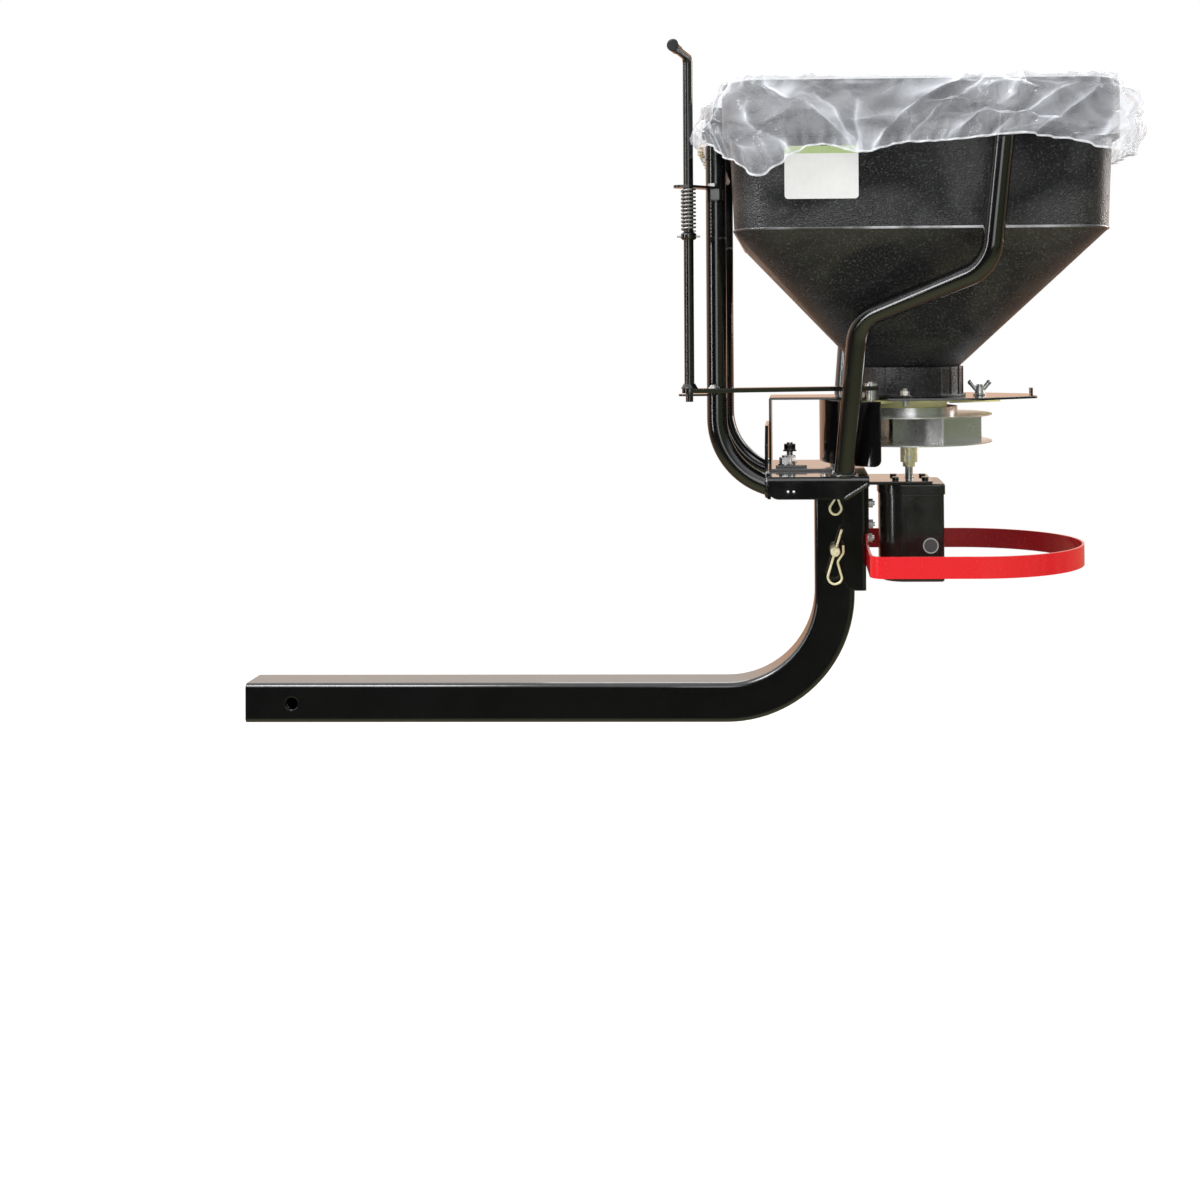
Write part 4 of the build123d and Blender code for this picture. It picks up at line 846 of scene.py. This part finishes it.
base_low, base_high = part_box("frame_base")
TUBE_R = 0.0125
WELD_RING_R = TUBE_R + 0.0008
SUPPORT_FOOT_X = 0.713
SUPPORT_FOOT_Y = 0.100
POST_WELD_Z = 0.2872
FLANGE_START_X = 0.7125
for side, side_name in ((-1, "left"), (1, "right")):
    foot = Vector((SUPPORT_FOOT_X, side * SUPPORT_FOOT_Y, base_high.z + 0.0006))
    weld(f"weld_support_{side_name}", ring_round(foot, Vector((0, 0, 1)), WELD_RING_R), True)
    front = Vector((base_low.x - 0.0004, side * POST_Y, POST_WELD_Z))
    weld(f"weld_post_{side_name}", ring_round(front, Vector((1, 0, 0)), WELD_RING_R), True)
    low_end = Vector((FLANGE_START_X, side * (base_high.y - 0.002), base_low.z + 0.0005))
    high_end = Vector((base_high.x - 0.001, side * (base_high.y - 0.002), base_high.z - 0.0085))
    weld(f"weld_flange_{side_name}", line_between(low_end, high_end), False)


CREASE_Z = 0.5930
CREASE_HALF_X = 0.2172
CREASE_HALF_Y = 0.2207
CREASE_CORNER = 0.0435
CREASE_RIB_R = 0.0016


def make_crease_bead():
    """The low moulded rib that runs round the hopper at its crease."""
    count = 240
    centres = []
    for i in range(count):
        angle = 2 * math.pi * i / count
        a, b = math.cos(angle), math.sin(angle)
        largest = max(abs(a), abs(b))
        place = rounded_rectangle(a / largest, b / largest, CREASE_HALF_X, CREASE_HALF_Y, CREASE_CORNER)
        centres.append(Vector((place.x, place.y, CREASE_Z)))
    radii = [CREASE_RIB_R] * count
    bead = tube("hopper_crease_rib", centres, radii, materials["crease_shine"], True, 10)
    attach(bead, "frame")


make_crease_bead()


# ---------------------------------------------------------------- floor, light and camera
def make_floor():
    """A pale floor at the ground's level under a fitted spreader; it fades out round the edge."""
    ground = -0.382
    reach = 6.0
    corners = [
        (-reach, -reach, ground), (reach, -reach, ground), (reach, reach, ground), (-reach, reach, ground),
    ]
    s = Surface("floor")
    tone = s.mix(s.noise(0.8, 2), (0.90, 0.90, 0.90), (0.93, 0.93, 0.93))
    away = s.node("ShaderNodeVectorMath", {0: s.place, 1: (0.6, 0.0, ground)}, operation="DISTANCE")
    fade = s.spread(away.outputs["Value"], 0.8, 2.6, 1.0, 0.0)
    s.wire(Base_Color=tone, Alpha=fade, Roughness=s.spread(s.noise(2, 2), 0.3, 0.7, 0.75, 0.85))
    floor = new_mesh("floor", corners, [(0, 1, 2, 3)], s.material)
    floor.visible_glossy = False


SKY_STOPS = {
    # what reflections see towards the camera's side: grass below, dark level with it, a pale sky
    "near": (
        (0.0, (0.40, 0.41, 0.24)), (0.22, (0.30, 0.31, 0.17)), (0.35, (0.034, 0.033, 0.025)),
        (0.46, (0.010, 0.011, 0.010)), (0.53, (0.014, 0.016, 0.014)), (0.61, (0.17, 0.18, 0.18)),
        (0.69, (0.68, 0.71, 0.76)), (0.84, (1.0, 1.0, 1.0)),
    ),
    # and behind the object: warm low light, then white
    "far": (
        (0.0, (0.16, 0.10, 0.06)), (0.40, (0.30, 0.17, 0.10)), (0.50, (0.62, 0.38, 0.26)),
        (0.58, (0.80, 0.62, 0.50)), (0.66, (0.90, 0.88, 0.84)), (0.80, (1.0, 1.0, 1.0)),
    ),
}


def make_world():
    """White to the eye and for soft light; reflections see a dark low band under a pale sky."""
    world = bpy.data.worlds.new("studio")
    scene.world = world
    world.use_nodes = True
    tree = world.node_tree
    tree.nodes.clear()
    links = tree.links
    output = tree.nodes.new("ShaderNodeOutputWorld")
    choose = tree.nodes.new("ShaderNodeMixShader")
    path = tree.nodes.new("ShaderNodeLightPath")
    plain = tree.nodes.new("ShaderNodeBackground")
    mirrored = tree.nodes.new("ShaderNodeBackground")
    plain.inputs["Color"].default_value = (1, 1, 1, 1)
    plain.inputs["Strength"].default_value = 1.0
    mirrored.inputs["Strength"].default_value = 1.15
    direction = tree.nodes.new("ShaderNodeTexCoord")
    split = tree.nodes.new("ShaderNodeSeparateXYZ")
    links.new(direction.outputs["Generated"], split.inputs[0])
    ranges = {}
    for axis, low, high in (("Z", -1.0, 1.0), ("Y", -0.25, 0.45)):
        ranges[axis] = tree.nodes.new("ShaderNodeMapRange")
        ranges[axis].inputs["From Min"].default_value = low
        ranges[axis].inputs["From Max"].default_value = high
        links.new(split.outputs[axis], ranges[axis].inputs["Value"])
    blend = tree.nodes.new("ShaderNodeMix")
    blend.data_type = "RGBA"
    links.new(ranges["Y"].outputs["Result"], blend.inputs[0])
    for socket, name in ((6, "near"), (7, "far")):
        ramp = tree.nodes.new("ShaderNodeValToRGB")
        stops = SKY_STOPS[name]
        while len(ramp.color_ramp.elements) < len(stops):
            ramp.color_ramp.elements.new(0.5)
        for element, (position, colour) in zip(ramp.color_ramp.elements, stops):
            element.position = position
            element.color = (*colour, 1.0)
        links.new(ranges["Z"].outputs["Result"], ramp.inputs["Fac"])
        links.new(ramp.outputs["Color"], blend.inputs[socket])
        if name == "near":
            near_colour = ramp.outputs["Color"]
    # leaves beyond the right-hand end, drawn out into upright streaks
    stretched = tree.nodes.new("ShaderNodeMapping")
    stretched.inputs["Scale"].default_value = (9.0, 9.0, 1.6)
    links.new(direction.outputs["Generated"], stretched.inputs["Vector"])
    patches = tree.nodes.new("ShaderNodeTexNoise")
    patches.inputs["Scale"].default_value = 1.0
    patches.inputs["Detail"].default_value = 3.0
    links.new(stretched.outputs["Vector"], patches.inputs["Vector"])
    leaves = tree.nodes.new("ShaderNodeMapRange")
    leaves.inputs["From Min"].default_value = 0.40
    leaves.inputs["From Max"].default_value = 0.62
    links.new(patches.outputs["Fac"], leaves.inputs["Value"])
    rightward = tree.nodes.new("ShaderNodeMapRange")
    rightward.inputs["From Min"].default_value = 0.0
    rightward.inputs["From Max"].default_value = 0.22
    links.new(split.outputs["X"], rightward.inputs["Value"])
    amount = tree.nodes.new("ShaderNodeMath")
    amount.operation = "MULTIPLY"
    links.new(leaves.outputs["Result"], amount.inputs[0])
    links.new(rightward.outputs["Result"], amount.inputs[1])
    green = tree.nodes.new("ShaderNodeMix")
    green.data_type = "RGBA"
    green.blend_type = "LIGHTEN"
    green.inputs[7].default_value = (0.22, 0.26, 0.14, 1.0)
    links.new(amount.outputs[0], green.inputs[0])
    links.new(near_colour, green.inputs[6])
    links.new(green.outputs[2], blend.inputs[6])
    links.new(blend.outputs[2], mirrored.inputs["Color"])
    links.new(path.outputs["Is Glossy Ray"], choose.inputs[0])
    links.new(plain.outputs[0], choose.inputs[1])
    links.new(mirrored.outputs[0], choose.inputs[2])
    links.new(choose.outputs[0], output.inputs["Surface"])


def add_light(name, place, target, size, power, colour=(1, 1, 1)):
    data = bpy.data.lights.new(name, "AREA")
    data.shape = "RECTANGLE"
    data.size, data.size_y = size
    data.energy = power
    data.color = colour
    light = bpy.data.objects.new(name, data)
    light.location = place
    light.rotation_euler = (Vector(target) - Vector(place)).to_track_quat("-Z", "Y").to_euler()
    scene.collection.objects.link(light)


CAMERA_PLACE = Vector((0.6518, -1.6919, 0.4687))
CAMERA_YAW = math.radians(1.233)
CAMERA_PITCH = math.radians(-0.778)
CAMERA_ROLL = math.radians(-0.389)


def make_camera():
    data = bpy.data.cameras.new("camera")
    data.sensor_width = 36.0
    data.lens = 38.855
    data.shift_x = -0.1378
    data.shift_y = -0.2333
    data.clip_start = 0.05
    data.clip_end = 200.0
    camera = bpy.data.objects.new("camera", data)
    turn = Matrix.Rotation(CAMERA_YAW, 3, "Z") @ Matrix.Rotation(math.pi / 2 - CAMERA_PITCH, 3, "X")
    turn = turn @ Matrix.Rotation(CAMERA_ROLL, 3, "Z")
    camera.matrix_world = Matrix.Translation(CAMERA_PLACE) @ turn.to_4x4()
    scene.collection.objects.link(camera)
    scene.camera = camera


make_floor()
make_world()
MIDDLE = (0.75, 0.0, 0.5)
add_light("key", (-0.9, -1.9, 2.3), MIDDLE, (1.1, 0.9), 40)
add_light("strip", (-1.5, -1.5, 0.9), MIDDLE, (0.22, 2.2), 13)
add_light("rim", (2.5, 0.9, 1.4), MIDDLE, (0.5, 2.0), 22)
add_light("back", (0.9, 2.4, 2.2), MIDDLE, (2.4, 1.2), 34)
add_light("fill", (0.75, -3.2, 0.85), MIDDLE, (1.1, 1.4), 9)
make_camera()
scene.view_settings.view_transform = "Standard"
